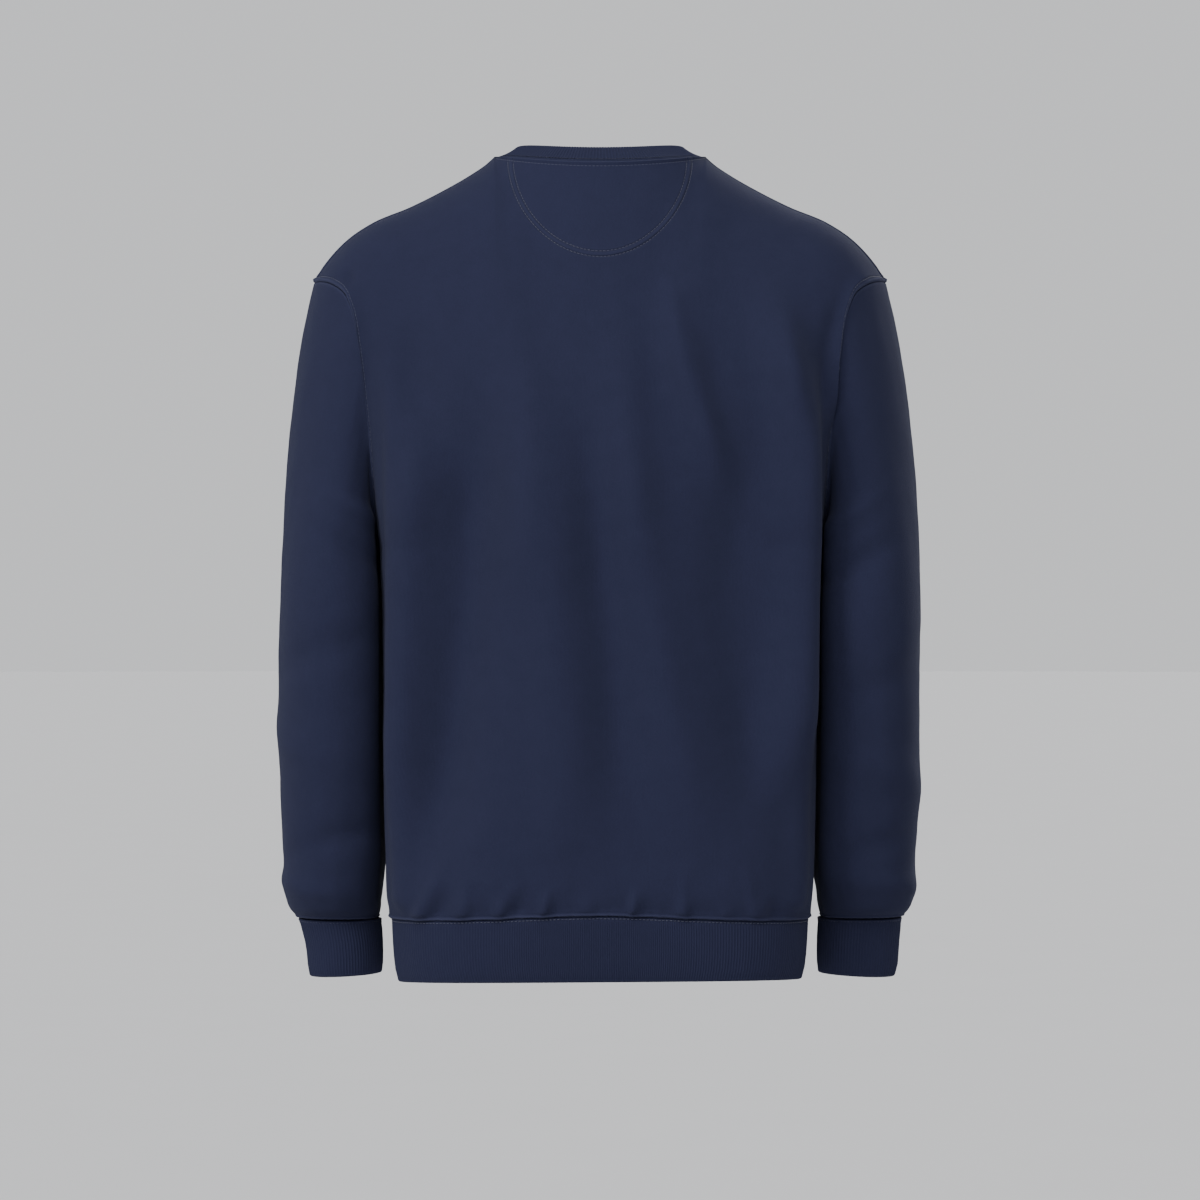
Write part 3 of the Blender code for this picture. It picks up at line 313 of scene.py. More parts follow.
def smooth(knots, values, at):
    """A smooth curve through the values at the knots, which rise."""
    knots = np.asarray(knots)
    values = np.asarray(values)
    slopes = np.gradient(values, knots, axis=0)
    left = np.clip(np.searchsorted(knots, at) - 1, 0, len(knots) - 2)
    span = knots[left + 1] - knots[left]
    share = within((at - knots[left]) / span)
    if values.ndim > 1:
        span = span[..., None]
        share = share[..., None]
    return hermite(values[left], slopes[left] * span, values[left + 1], slopes[left + 1] * span, share)


def at_height(rows, z):
    """The columns of a table of rings or cuts at a height, without the heights themselves."""
    table = np.array(rows)
    return np.moveaxis(smooth(table[:, 0], table[:, 1:], z), -1, 0)


def hermite(start, start_pull, end, end_pull, share):
    """The cubic that leaves start along start_pull and reaches end along end_pull."""
    square = share * share
    cube = square * share
    return ((2.0 * cube - 3.0 * square + 1.0) * start + (cube - 2.0 * square + share) * start_pull
            + (3.0 * square - 2.0 * cube) * end + (cube - square) * end_pull)


def ease(low, high, value):
    """From 0 at low to 1 at high, level at both ends."""
    share = within((value - low) / (high - low))
    return share * share * (3.0 - 2.0 * share)


def bell(distance, width):
    return np.exp(-(distance / width) ** 2)


def point(x, y, z):
    return np.stack(np.broadcast_arrays(x, y, z), axis=-1)


def length(vectors):
    return np.linalg.norm(vectors, axis=-1, keepdims=True)


def unit(vectors):
    return vectors / np.maximum(length(vectors), 1e-12)


def along_curve(places, share):
    """The point at a share of the way along the smooth curve through some places."""
    points = np.array(places)
    steps = np.linalg.norm(np.diff(points, axis=0), axis=1)
    knots = np.concatenate(([0.0], np.cumsum(steps))) / steps.sum()
    return smooth(knots, points, share)


def superellipse_reach(cosine, sine, half_width, depth, square):
    """How far a rounded outline reaches in the direction (cosine, sine)."""
    return (abs(cosine / half_width) ** square + abs(sine / depth) ** square) ** (-1.0 / square)


# ---------------------------------------------------------------- the trunk
def trunk_ring(rings, angle, z, heights=None):
    """A point of the trunk at an angle from the left side seam, with the ring that heights names."""
    half_width, back, front, square = at_height(rings, z if heights is None else heights)
    cosine = np.cos(angle)
    sine = np.sin(angle)
    reach = superellipse_reach(cosine, sine, half_width, np.where(sine >= 0.0, back, front), square)
    return point(reach * cosine, reach * sine, z)


def trunk_half_width(y, z):
    """Half the trunk's width at a depth y, or 0 past its front and back."""
    half_width, back, front, square = at_height(TRUNK, z)
    inside = within(1.0 - abs(y / np.where(y >= 0.0, back, front)) ** square)
    return half_width * inside ** (1.0 / square)


def panel_angle(across, facing):
    """The angle round the trunk at a place across the back (facing 1) or the front (facing -1)."""
    return facing * (1.0 - across) * QUARTER_TURN


def hem_seam_z(angle):
    """The waistband's seam, which is highest at the middle of the back."""
    return HEM_SEAM_Z + (HEM_SEAM_BACK_Z - HEM_SEAM_Z) * within(np.sin(angle)) ** 2


def hem_z(angle):
    """The waistband's lower edge, which rises a little toward the middles of the back and the front."""
    edge = trunk_ring(WAISTBAND, angle, HEM_Z + 0.0 * angle)
    behind = within(edge[..., 1] / WAISTBAND[0].back)
    before = within(-edge[..., 1] / WAISTBAND[0].front)
    rise = (HEM_BACK_Z - HEM_Z) * behind + (HEM_FRONT_Z - HEM_Z) * before
    return HEM_Z + rise - HEM_TILT * edge[..., 0] / WAISTBAND[0].half_width


def neck_point(turn):
    """The neck seam, from 0 at the middle of the back round by the left to pi at the front."""
    cosine = np.cos(turn)
    behind = within(cosine)
    before = within(-cosine)
    y = SHOULDER_Y + NECK_BACK * behind - NECK_FRONT * before
    deep = before ** 2 * (1.0 + NECK_FRONT_ROUND * (1.0 - before))
    z = -NECK_BACK_DROP * behind ** 2 - NECK_FRONT_DROP * deep
    return point(NECK_HALF_WIDTH * np.sin(turn), y, z)


def neck_turn(across):
    """The turn round the neck from the middle of a panel, which ends at the neck's ends."""
    return np.clip(across / NECK_SHARE, -1.0, 1.0) * QUARTER_TURN


def mirrored(across):
    """What mirrors a point of the left half where across is on the right."""
    return point(np.where(across >= 0.0, 1.0, -1.0), 1.0, 1.0)


def panel_top(across, facing):
    """The top edge of a panel: neck in the middle, a shoulder seam at each side."""
    turn = neck_turn(across)
    neck = neck_point(turn if facing > 0 else math.pi - turn)
    share = within((abs(across) - NECK_SHARE) / (1.0 - NECK_SHARE))
    shoulder = along_curve(SHOULDER, share) * mirrored(across)
    return np.where((abs(across) > NECK_SHARE)[..., None], shoulder, neck)


def panel_thread(across, along, facing):
    """The free thread of cloth from the underarm's height up to a panel's top edge."""
    angle = panel_angle(across, facing)
    start = trunk_ring(TRUNK, angle, UNDERARM_Z + 0.0 * across)
    above = trunk_ring(TRUNK, angle, UNDERARM_Z + STEP + 0.0 * across)
    end = panel_top(across, facing)
    span = length(end - start)
    to_middle = within(np.cos(neck_turn(across)))
    arch = ARCH[facing]
    rise = arch.rise * to_middle + (NECK_RISE - arch.rise) * to_middle ** 2
    pull = smooth(ARCH_ACROSS, (arch.middle, arch.neck_end, arch.shoulder, arch.tip), abs(across))
    end_pull = unit(point(0.0 * across, -facing, rise)) * span * pull[..., None]
    start_pull = unit(above - start) * span
    return hermite(start, start_pull, end, end_pull, along[..., None])


def evened_thread(across, up, facing):
    """The free thread, evened out with those beside it so that no ridge runs down from a neck's end."""
    reach = NECK_SOFTNESS * ease(0.0, EVENING_FADE, up) * ease(1.0, 1.0 - EVENING_FADE, up)
    reach = np.minimum(reach, 1.0 - abs(across))
    thread = 0.0
    for offset, weight in EVENING:
        thread = thread + weight * panel_thread(across + offset * reach, up, facing)
    return thread


def panel_surface(across, along, facing):
    """A trunk panel before its folds."""
    angle = panel_angle(across, facing)
    seam = hem_seam_z(angle)
    low_share = within(along)
    z = seam + (UNDERARM_Z - seam) * low_share
    lower = trunk_ring(TRUNK, angle, z, HEM_SEAM_Z + (UNDERARM_Z - HEM_SEAM_Z) * low_share)
    up = within(along - 1.0)
    armhole = along_curve(ARMHOLE[facing], up)
    edge = panel_thread(np.ones_like(across), up, facing)
    near = within((abs(across) - ARMHOLE_EASE_START) / (1.0 - ARMHOLE_EASE_START))
    pull = (near ** 2)[..., None]
    upper = evened_thread(across, up, facing) + (armhole - edge) * pull * mirrored(across)
    return np.where((along > 1.0)[..., None], upper, lower)


def fold_height(folds, x, z):
    """How far the folds lift the cloth at (x, z)."""
    lift = 0.0 * x
    for fold in folds:
        knots = (fold.z_low, fold.z_mid, fold.z_top)
        line = smooth(knots, (fold.x_low, fold.x_mid, fold.x_top), z)
        share = (z - fold.z_low) / (fold.z_top - fold.z_low)
        present = ease(0.0, fold.fade, share) * ease(0.0, fold.fade, 1.0 - share)
        lift = lift + fold.height * bell(x - line, fold.width) * present
    return lift


def gather_height(gathers, x, rise):
    """How far the gathers lift the cloth at a rise above the waistband's seam."""
    lift = 0.0 * x
    for gather in gathers:
        line = gather.x - gather.lean * rise
        present = 1.0 - ease(GATHER_FULL * gather.rise, gather.rise, rise)
        lift = lift + gather.height * bell(x - line, gather.width) * present
    return lift


def normals_of(surface, first, second, sign):
    """The unit normals of a surface, from small steps that stay inside its edges.

    At a neck's end the threads run along the neck's edge, so the step goes out along the shoulder.
    """
    outward = np.where(first > 0.0, STEP, -STEP)
    at_neck_end = (abs(abs(first) - NECK_SHARE) < STEP) & (second >= 2.0)
    step_first = np.where(at_neck_end, outward, -outward)
    step_second = np.where(second > 0.5, -STEP, STEP)
    here = surface(first, second)
    one = (surface(first + step_first, second) - here) / step_first[..., None]
    two = (surface(first, second + step_second) - here) / step_second[..., None]
    return unit(np.cross(one, two)) * sign


def panel_normals(across, along, facing):
    return normals_of(partial(panel_surface, facing=facing), across, along, -facing)


def panel_points(across, along, facing):
    """The outer points of a trunk panel with its folds, and the normals its wall is made along."""
    base = panel_surface(across, along, facing)
    normals = panel_normals(across, along, facing)
    x = base[..., 0]
    z = base[..., 2]
    rise = z - hem_seam_z(panel_angle(across, facing))
    at_edges = ease(FOLD_SIDE_END, FOLD_SIDE, abs(across)) * ease(2.0, FOLD_TOP, along)
    lift = fold_height(FOLDS[facing], x, z) * ease(0.0, FOLD_RISE, rise)
    lift = lift + gather_height(GATHERS[facing], x, rise)
    side_seam = (abs(across) > SEAM_EDGE - STEP) & (along <= 1.0)
    shoulder_seam = (abs(across) >= NECK_SHARE) & (along >= 2.0)
    level = np.where((side_seam | shoulder_seam)[..., None], unit(normals * (1.0, 0.0, 1.0)), normals)
    return base + normals * (lift * at_edges)[..., None], level


# ---------------------------------------------------------------- the sleeves
def up_the_armhole(share):
    """How far up its back and how far up its front the armhole is at a share of the way round it."""
    share = np.mod(share, 1.0)
    return share <= 0.5, 1.0 - within(share * 2.0), within(share * 2.0 - 1.0)


def armhole_loop(share):
    """The left armhole, from 0 at the shoulder seam down the back to 0.5 and up the front to 1."""
    behind, up_back, up_front = up_the_armhole(share)
    return np.where(behind[..., None], along_curve(ARMHOLE[BACK], up_back),
                    along_curve(ARMHOLE[FRONT], up_front))


def sleeve_start(share):
    """Directions at the armhole: the sleeve's cloth as it leaves, and the trunk panel's normal."""
    behind, up_back, up_front = up_the_armhole(share)
    edge = np.ones_like(share)
    back, front = (panel_surface(edge, 1.0 + up, facing) - panel_surface(edge - STEP, 1.0 + up, facing)
                   for up, facing in ((up_back, BACK), (up_front, FRONT)))
    onward = unit(np.where(behind[..., None], back, front))
    seam_line = armhole_loop(share + STEP) - armhole_loop(share - STEP)
    panel_normal = unit(np.cross(onward, seam_line))
    up = np.where(behind, up_back, up_front)
    over_top = ease(SHOULDER_FROM, 1.0, up)[..., None]
    near_underarm = (1.0 - ease(HANGING_FROM, HANGING_TO, up))[..., None]
    hanging = unit(point(HANGING_LEAN + 0.0 * share, 0.0, -1.0))
    down = point(0.0 * share, 0.0, -1.0)
    mixed = unit(onward + down * (SLEEVE_DROP + SHOULDER_DROP * over_top))
    return unit(mixed * (1.0 - near_underarm) + hanging * near_underarm), panel_normal


def sleeve_ring(cuts, share, z, square=SLEEVE_SQUARE):
    """A level ring of a sleeve, from its outer side by the back, the inner side and the front."""
    outer, inner, back, front = at_height(cuts, z)
    cosine = np.cos(share * FULL_TURN)
    sine = np.sin(share * FULL_TURN)
    reach = superellipse_reach(cosine, sine, (outer - inner) / 2.0, (back - front) / 2.0, square)
    return point((outer + inner) / 2.0 + reach * cosine, (back + front) / 2.0 + reach * sine, z)


def clear_of_trunk(points, amount):
    """Points moved outward where they would enter the trunk, as a sleeve flattens against it."""
    x, y, z = points[..., 0], points[..., 1], points[..., 2]
    wall = trunk_half_width(y, z) + SLEEVE_CLEARANCE
    apart = x - wall
    pushed = wall + 0.5 * (apart + np.sqrt(apart ** 2 + SLEEVE_SOFTNESS ** 2))
    return point(x + (pushed - x) * amount, y, z)


def sleeve_surface(cuts, share, along):
    """The left sleeve before its folds: along is 0 at the armhole, 1 at its first level ring and 2 at
    the cuff.
    """
    start = armhole_loop(share)
    outward, panel_normal = sleeve_start(share)
    inward_part = np.minimum((outward * panel_normal).sum(axis=-1, keepdims=True), 0.0)
    start = start + unit(outward - panel_normal * inward_part) * SEAM_GAP
    level = SLEEVE_RING_Z + 0.0 * share
    end = sleeve_ring(cuts, share, level)
    end_way = unit(sleeve_ring(cuts, share, level - STEP) - end)
    span = length(end - start)
    upper = hermite(start, outward * span * SLEEVE_PULL, end, end_way * span, within(along)[..., None])
    z = SLEEVE_RING_Z + (cuts[0].z - SLEEVE_RING_Z) * within(along - 1.0)
    free = np.where((along > 1.0)[..., None], sleeve_ring(cuts, share, z), upper)
    return clear_of_trunk(free, ease(0.0, BLEND_START, along))


def sleeve_points(side, share, along):
    """The outer points of a sleeve with its folds, mirrored for the right arm, and its normals."""
    surface = partial(sleeve_surface, SLEEVE[side])
    base = surface(share, along)
    normals = normals_of(surface, share, along, -1.0)
    turn = share * 360.0
    lift = 0.0 * share
    for crease in SLEEVE_CREASES[side]:
        off = np.mod(turn - crease.turn + 180.0, 360.0) - 180.0
        line = crease.z - crease.slant * off
        across_fold = bell(base[..., 2] - line, crease.z_width)
        lift = lift + crease.height * bell(off, crease.turn_width) * across_fold
    free_side = 1.0 - bell(np.mod(turn, 360.0) - 180.0, CREASE_GAP)
    lift = lift * ease(0.0, CREASE_START, along) * ease(2.0, CREASE_END, along) * free_side
    outward, panel_normal = sleeve_start(share)
    bends_in = (outward * panel_normal).sum(axis=-1, keepdims=True) < 0.0
    normals = np.where(bends_in & (along <= 0.0)[..., None], panel_normal, normals)
    mirror = point(SIDES[side], 1.0, 1.0)
    return (base + normals * lift[..., None]) * mirror, normals * mirror


def collar_lean(turn, along):
    """How far the collar's face has come from the neck seam, and its outward side there."""
    cosine = np.cos(turn)
    inward = unit(point(-np.sin(turn), -cosine, 0.0))
    up = point(0.0 * turn, 0.0, 1.0)
    at_ends = np.where(cosine > 0.0, COLLAR_RISE_BACK, COLLAR_RISE_FRONT)
    rise = COLLAR_RISE_SIDE + (at_ends - COLLAR_RISE_SIDE) * abs(cosine)
    curl = COLLAR_CURL * (1.0 - abs(cosine))
    low, high = (inward * np.sqrt(1.0 - steep ** 2)[..., None] + up * steep[..., None]
                 for steep in (rise - curl, rise + curl))
    share = along / COLLAR_WIDTH
    way = (low * (share - share ** 2 / 2.0) + high * share ** 2 / 2.0) * COLLAR_WIDTH
    lean = unit(low * (1.0 - share) + high * share)
    steep = lean[..., 2:3]
    return way, unit(-inward * steep + up * np.sqrt(1.0 - steep ** 2))


def neck_seam(turn):
    """The collar's edge at the neck seam, just off the panels, and the panels' normal there."""
    behind = turn <= QUARTER_TURN
    across = np.where(behind, turn, math.pi - turn) / QUARTER_TURN * NECK_SHARE
    back, front = (panel_normals(across, 2.0 + 0.0 * across, facing) for facing in (BACK, FRONT))
    normals = np.where(behind[..., None], back, front)
    seam_line = neck_point(turn + STEP) - neck_point(turn - STEP)
    off_panel = unit(np.cross(seam_line, normals))
    return neck_point(turn) + off_panel * COLLAR_GAP, normals


def find_on_back(x, z):
    """The place on the back panel whose point lies at (x, z), found by Newton's steps from a near guess."""
    across = x / GUESS_WIDTH
    along = 2.0 + z * GUESS_RISE
    for _ in range(NEWTON_STEPS):
        here = panel_surface(across, along, BACK)
        by_across = (panel_surface(across - STEP, along, BACK) - here) / -STEP
        by_along = (panel_surface(across, along - STEP, BACK) - here) / -STEP
        miss_x = x - here[..., 0]
        miss_z = z - here[..., 2]
        scale = by_across[..., 0] * by_along[..., 2] - by_along[..., 0] * by_across[..., 2]
        across = across + (miss_x * by_along[..., 2] - miss_z * by_along[..., 0]) / scale
        along = along + (miss_z * by_across[..., 0] - miss_x * by_across[..., 2]) / scale
        along = np.clip(along, 1.0, 2.0 - STEP)
    return across, along


# ---------------------------------------------------------------- how finely the cloth is made
FINE_STEP = 0.0034         # between two points of the cloth
SEAM_STATIONS = (0.0, 0.0004, 0.0008, 0.0012, 0.0016, 0.002, 0.0024, 0.0029, 0.0034, 0.0039, 0.0042,
                 0.0045, 0.0048, 0.0052, 0.0059, 0.0068, 0.0079, 0.009)   # closer together beside a seam
SLEEVE_GIRTH = 0.3
SLEEVE_LENGTH = 0.56
PANEL_LENGTH = 0.66
RIB_PITCH = 0.0024
RIB_DEPTH = 0.00045
POINTS_PER_RIB = 6

# how the cloth behaves beside its seams
ROLL_RADIUS = 0.0016       # the cloth turns in at a seam over this distance
ROLL_DEPTH = 0.0012
LIP_AWAY = 0.0017          # beside the seam the turned cloth stands up in a narrow lip
LIP_WIDTH = 0.0011
LIP_HEIGHT = 0.001
BAND_START = 0.004         # the seam's allowance lies under the cloth and lifts it this far from the seam,
BAND_END = 0.0075          # less and less to here
BAND_LIFT = 0.0004
NEEDLE = 0.0045            # from a seam to its row of stitches
RIB_NEEDLE = 0.0019        # from a rib's seam to the row of stitches on the rib
CUFF_FLARE = 0.0009        # a cuff's upper edge stands out by this to meet the wider sleeve,
SLEEVE_TUCK = 0.0016       # whose end is drawn in by this
GROOVE_WIDTH = 0.0007
GROOVE_DEPTH = 0.0005
FOLD_MORE = 0.6            # the thin cloth's folds stand out by this much more than the solid's
CORNER_ACROSS = 0.73       # across the back, where the cloth turns to the side in a soft corner,
CORNER_SHIFT = 0.12        # and how much nearer to the edge it turns above the underarm
CORNER_WIDTH = 0.045
CORNER_HEIGHT = 0.0055
SLEEVE_CORNERS = (0.375, 0.625)   # round a sleeve, where it turns toward the trunk
SLEEVE_CORNER_WIDTH = 0.085
SLEEVE_CORNER_HEIGHT = 0.01
GATHER_AT_SEAM = 0.2       # share of a gather's height that is left where the waistband's seam holds it
GATHER_RECOVERY = 0.0075   # and how far above the seam it has all its height
STITCH_PITCH = 0.0032
STITCH_LENGTH = 0.0025
STITCH_THICKNESS = 0.0006
PUCKERS = ((27, 1.0), (40, 0.8), (61, 0.6))   # ripples in a sleeve's girth along a seam, and their weights
PUCKER_HEIGHT = 0.00018
PUCKER_WIDTH = 0.01
CORNER_FADE = 1.6          # along the back, the corner is gone here
CORNER_FULL = 1.1          # and has all its height below here
SLEEVE_CORNER_LOW = (0.1, 0.6)    # along a sleeve, its corners rise between these
SLEEVE_CORNER_HIGH = (1.75, 2.0)  # and fade between these
TUCK_LENGTH = 0.01         # a sleeve is drawn in over this length at its cuff
FINE_BLEND_START = 0.2     # along a sleeve, its folds begin to keep clear of the trunk here
UNDERARM_STEP = 0.03       # near the underarm the cloth is lifted along normals evened over this much
UNDERARM_REACH = 0.04
# small shapes have all their height from these distances to a seam
DENT_CLEAR = 0.006
TOP_CLEAR = 0.01
FOLD_CLEAR = 0.02
WAVE_CLEAR = 0.03
# how finely a surface's lengths are measured
SIDE_PLACES, TOP_PLACES, SLEEVE_PLACES = 81, 61, 73
LENGTH_STEP = 0.02

# the cloth's slight waviness: each wave's height, and how fast its two sines turn for each metre across
# and along and with the seed
Wave = namedtuple("Wave", "height across along seed second_across second_along second_seed")
WAVES = (
    Wave(1.0, 41.0, 23.0, 1.0, -17.0, 29.0, 2.1),
    Wave(0.6, 83.0, -31.0, 1.7, 37.0, 61.0, 0.0),
    Wave(0.3, 151.0, 97.0, 1.0, -71.0, 127.0, 1.0),
)
WAVE_HEIGHT = 0.0004
SLEEVE_WAVE_BACK = 0.25    # a sleeve's waves take its back and its outer side as this far across
SLEEVE_WAVE_OUT = 0.2

# pale lines beside the seams, partly seam wear and partly painted highlight where a seam's edge catches the
# light
PaleSeamLine = namedtuple("PaleSeamLine", "strength distance width")
HEM_WEAR_AND_HIGHLIGHT = PaleSeamLine(0.35, 0.0013, 0.0011)
HEM_PAINTED_HIGHLIGHT_MORE = 0.3        # painted highlight on the lit side: stronger by this at the wearer's left,
HEM_PAINTED_HIGHLIGHT_FROM = -0.14      # rising between these two places
HEM_PAINTED_HIGHLIGHT_TO = 0.06
TOP_WEAR_AND_HIGHLIGHT = PaleSeamLine(0.22, 0.0012, 0.001)
ARMHOLE_WEAR_AND_HIGHLIGHT = PaleSeamLine(0.42, 0.0014, 0.0014)
SLEEVE_WEAR_AND_HIGHLIGHT = PaleSeamLine(0.25, 0.0012, 0.001)

MOON_HALF_WIDTH = 0.0755   # the half-moon that the patch's stitches draw on the back
MOON_DEPTH = 0.0795
MOON_ROW = 0.0024          # from its line to each of its two rows of stitches
MOON_ARC = math.radians(86.0)
MOON_FAR = 0.02            # distances from its line are kept within this

# Sharp short gathers where the waistband draws the cloth in, in the columns of the broader ones
PULLS = {
    BACK: [Gather(*row) for row in (
        (0.153, 0.07, 0.006, 0.0036, 0.52),
        (0.137, 0.036, 0.0065, -0.0026, 0.45),
        (0.114, 0.048, 0.0042, 0.0018, 0.14),
        (0.084, 0.036, 0.0048, 0.0024, 0.4),
        (0.068, 0.036, 0.006, -0.0022, 0.28),
        (0.048, 0.028, 0.003, 0.0022, 0.22),
        (-0.025, 0.03, 0.0034, 0.0024, 0.18),
        (-0.0675, 0.05, 0.005, 0.0018, 0.06),
        (-0.1276, 0.06, 0.0048, 0.0018, -0.14),
        (-0.144, 0.024, 0.0055, -0.0024, 0.0),
    )],
    FRONT: [Gather(*row) for row in (
        (0.14, 0.046, 0.005, 0.0024, -0.25),
        (0.096, 0.03, 0.004, 0.0018, -0.12),
        (0.054, 0.038, 0.0044, 0.002, 0.1),
        (0.015, 0.026, 0.0034, 0.0018, -0.06),
        (-0.038, 0.034, 0.004, 0.002, 0.14),
        (-0.086, 0.028, 0.0044, 0.0018, -0.1),
        (-0.133, 0.048, 0.0052, 0.0024, 0.28),
    )],
}
# Pulls beside the back's armholes, dents at the top of the left one, and smaller folds of the back
SMALL_FOLDS = [Fold(*row) for row in (
    (-0.226, -0.088, -0.206, -0.16, -0.188, -0.245, 0.0095, 0.0066, 0.3),
    (-0.204, -0.11, -0.19, -0.17, -0.18, -0.24, 0.009, -0.0024, 0.35),
    (0.213, -0.095, 0.211, -0.105, 0.206, -0.116, 0.005, -0.003, 0.4),
    (0.221, -0.104, 0.214, -0.116, 0.205, -0.132, 0.0046, 0.0018, 0.35),
    (0.064, -0.12, 0.062, -0.245, 0.064, -0.4, 0.018, 0.0042, 0.35),
    (-0.016, -0.12, -0.021, -0.215, -0.03, -0.36, 0.018, 0.004, 0.35),
    (-0.056, -0.085, -0.061, -0.145, -0.07, -0.22, 0.01, 0.0022, 0.4),
    (-0.118, -0.18, -0.112, -0.34, -0.13, -0.56, 0.022, 0.005, 0.35),
    (0.068, -0.03, 0.067, -0.09, 0.066, -0.2, 0.012, 0.0016, 0.35),
    (-0.066, -0.03, -0.067, -0.09, -0.066, -0.17, 0.012, 0.0014, 0.35),
)]


def stations(extent):
    """Shares of a length where the cloth has points: close by its seams, a step apart between them."""
    seam = np.array(SEAM_STATIONS)
    last = extent - seam[-1]
    middle = np.linspace(seam[-1], last, round((last - seam[-1]) / FINE_STEP) + 1)
    return np.concatenate((seam[:-1], middle, (extent - seam[:-1])[::-1])) / extent


def seam_shape(distance, proud=1.0, sewn=1.0, rolled=1.0):
    """How the cloth rises and sinks beside a seam, by shares of its lip, its groove and its roll."""
    inside = within(1.0 - distance / ROLL_RADIUS)
    roll = -ROLL_DEPTH * (1.0 - np.sqrt(1.0 - inside ** 2))
    lip = LIP_HEIGHT * bell(distance - LIP_AWAY, LIP_WIDTH)
    band = BAND_LIFT * ease(BAND_END, BAND_START, distance)
    groove = GROOVE_DEPTH * bell(distance - NEEDLE, GROOVE_WIDTH)
    return rolled * roll + proud * (lip + band) - sewn * groove


def speed(surface, first, second, step_first, step_second):
    """How many metres a step of one unit makes on a surface."""
    here = surface(first, second)
    there = surface(first + step_first, second + step_second)
    return length(there - here)[..., 0] / (abs(step_first) + abs(step_second))


def unevenness(across, along, seed):
    """A slight irregular waviness of the cloth."""
    total = 0.0
    for wave in WAVES:
        first = np.sin(wave.across * across + wave.along * along + wave.seed * seed)
        second = np.sin(wave.second_across * across + wave.second_along * along + wave.second_seed * seed)
        total = total + wave.height * first * second
    return WAVE_HEIGHT * total


def pucker(along_seam, distance, seed):
    """Small ripples where the stitching draws the cloth together."""
    wave = 0.0
    for count, weight in PUCKERS:
        wave = wave + weight * np.sin(FULL_TURN * count * along_seam / SLEEVE_GIRTH + seed * count)
    return PUCKER_HEIGHT * wave * bell(distance, PUCKER_WIDTH)


# ---------------------------------------------------------------- finer surfaces
def panel_distances(across, along, facing):
    """Metres from a point of a trunk panel to its side or armhole, to its top and to the waistband."""
    surface = partial(panel_surface, facing=facing)
    ups = np.linspace(0.0, 2.0, SIDE_PLACES)
    side_speed = speed(surface, np.full_like(ups, 1.0), ups, -LENGTH_STEP, 0.0)
    sides = np.linspace(0.0, 1.0, TOP_PLACES)
    top_speed = speed(surface, sides, np.full_like(sides, 2.0), 0.0, -LENGTH_STEP)
    to_side = (SEAM_EDGE - abs(across)) * np.interp(along, ups, side_speed)
    to_top = (2.0 - along) * np.interp(abs(across), sides, top_speed)
    return np.maximum(to_side, 0.0), np.maximum(to_top, 0.0), along * abs(HEM_SEAM_Z - UNDERARM_Z)


def clear_of_seams(clearances):
    """1 on the open cloth and 0 at a seam, from pairs of a distance to it and how far it counts."""
    clear = 1.0
    for distance, reach in clearances:
        clear = clear * ease(0.0, reach, distance)
    return clear


def back_shapes(points, across, along, to_side, to_top, to_hem):
    """The soft corners where the back turns to its sides, and its small folds."""
    corner = CORNER_ACROSS + CORNER_SHIFT * within(along - 1.0)
    ridge = bell(abs(across) - corner, CORNER_WIDTH) * ease(CORNER_FADE, CORNER_FULL, along)
    folds = fold_height(SMALL_FOLDS, points[..., 0], points[..., 2])
    return (CORNER_HEIGHT * ridge * clear_of_seams([(to_hem, FOLD_CLEAR)])
            + folds * clear_of_seams([(to_side, DENT_CLEAR), (to_top, TOP_CLEAR)]))


def fine_panel(across, along, facing):
    """The outer points of a trunk panel with all its folds and seams, and its normals."""
    points, normals = panel_points(across, along, facing)
    to_side, to_top, to_hem = panel_distances(across, along, facing)
    x = points[..., 0]
    z = points[..., 2]
    above = np.where(along > 1.0, 1.0, 0.0)
    lift = seam_shape(to_side, proud=above, sewn=above, rolled=0.25) + seam_shape(to_top, rolled=0.4)
    lift = lift + seam_shape(to_hem, proud=1.1, sewn=0.0, rolled=0.35)
    held = (1.0 - GATHER_AT_SEAM) * ease(GATHER_RECOVERY, 0.0, to_hem)
    rise = z - hem_seam_z(panel_angle(across, facing))
    at_edges = ease(FOLD_SIDE_END, FOLD_SIDE, abs(across))
    lift = lift - gather_height(GATHERS[facing], x, rise) * at_edges * held
    more = FOLD_MORE * ease(0.0, FOLD_RISE, rise) * ease(2.0, FOLD_TOP, along)
    lift = lift + fold_height(FOLDS[facing], x, z) * at_edges * more
    lift = lift + gather_height(PULLS[facing], x, to_hem) * ease(0.0, FOLD_CLEAR, to_side) * (1.0 - held)
    if facing == BACK:
        lift = lift + back_shapes(points, across, along, to_side, to_top, to_hem)
    seams = ((to_side, WAVE_CLEAR), (to_top, WAVE_CLEAR), (to_hem, FOLD_CLEAR))
    lift = lift + unevenness(x, z, 1.0 + facing) * clear_of_seams(seams)
    lift = lift + pucker(z, to_side, 2.0 * facing) + pucker(x, to_hem, 1.0 + facing)
    below, over = (panel_normals(across, np.full_like(along, level), facing)
                   for level in (1.0 - UNDERARM_STEP, 1.0 + UNDERARM_STEP))
    near_underarm = bell(along - 1.0, UNDERARM_REACH)[..., None]
    way = unit(normals * (1.0 - near_underarm) + unit(below + over) * near_underarm)
    return points + way * lift[..., None], normals


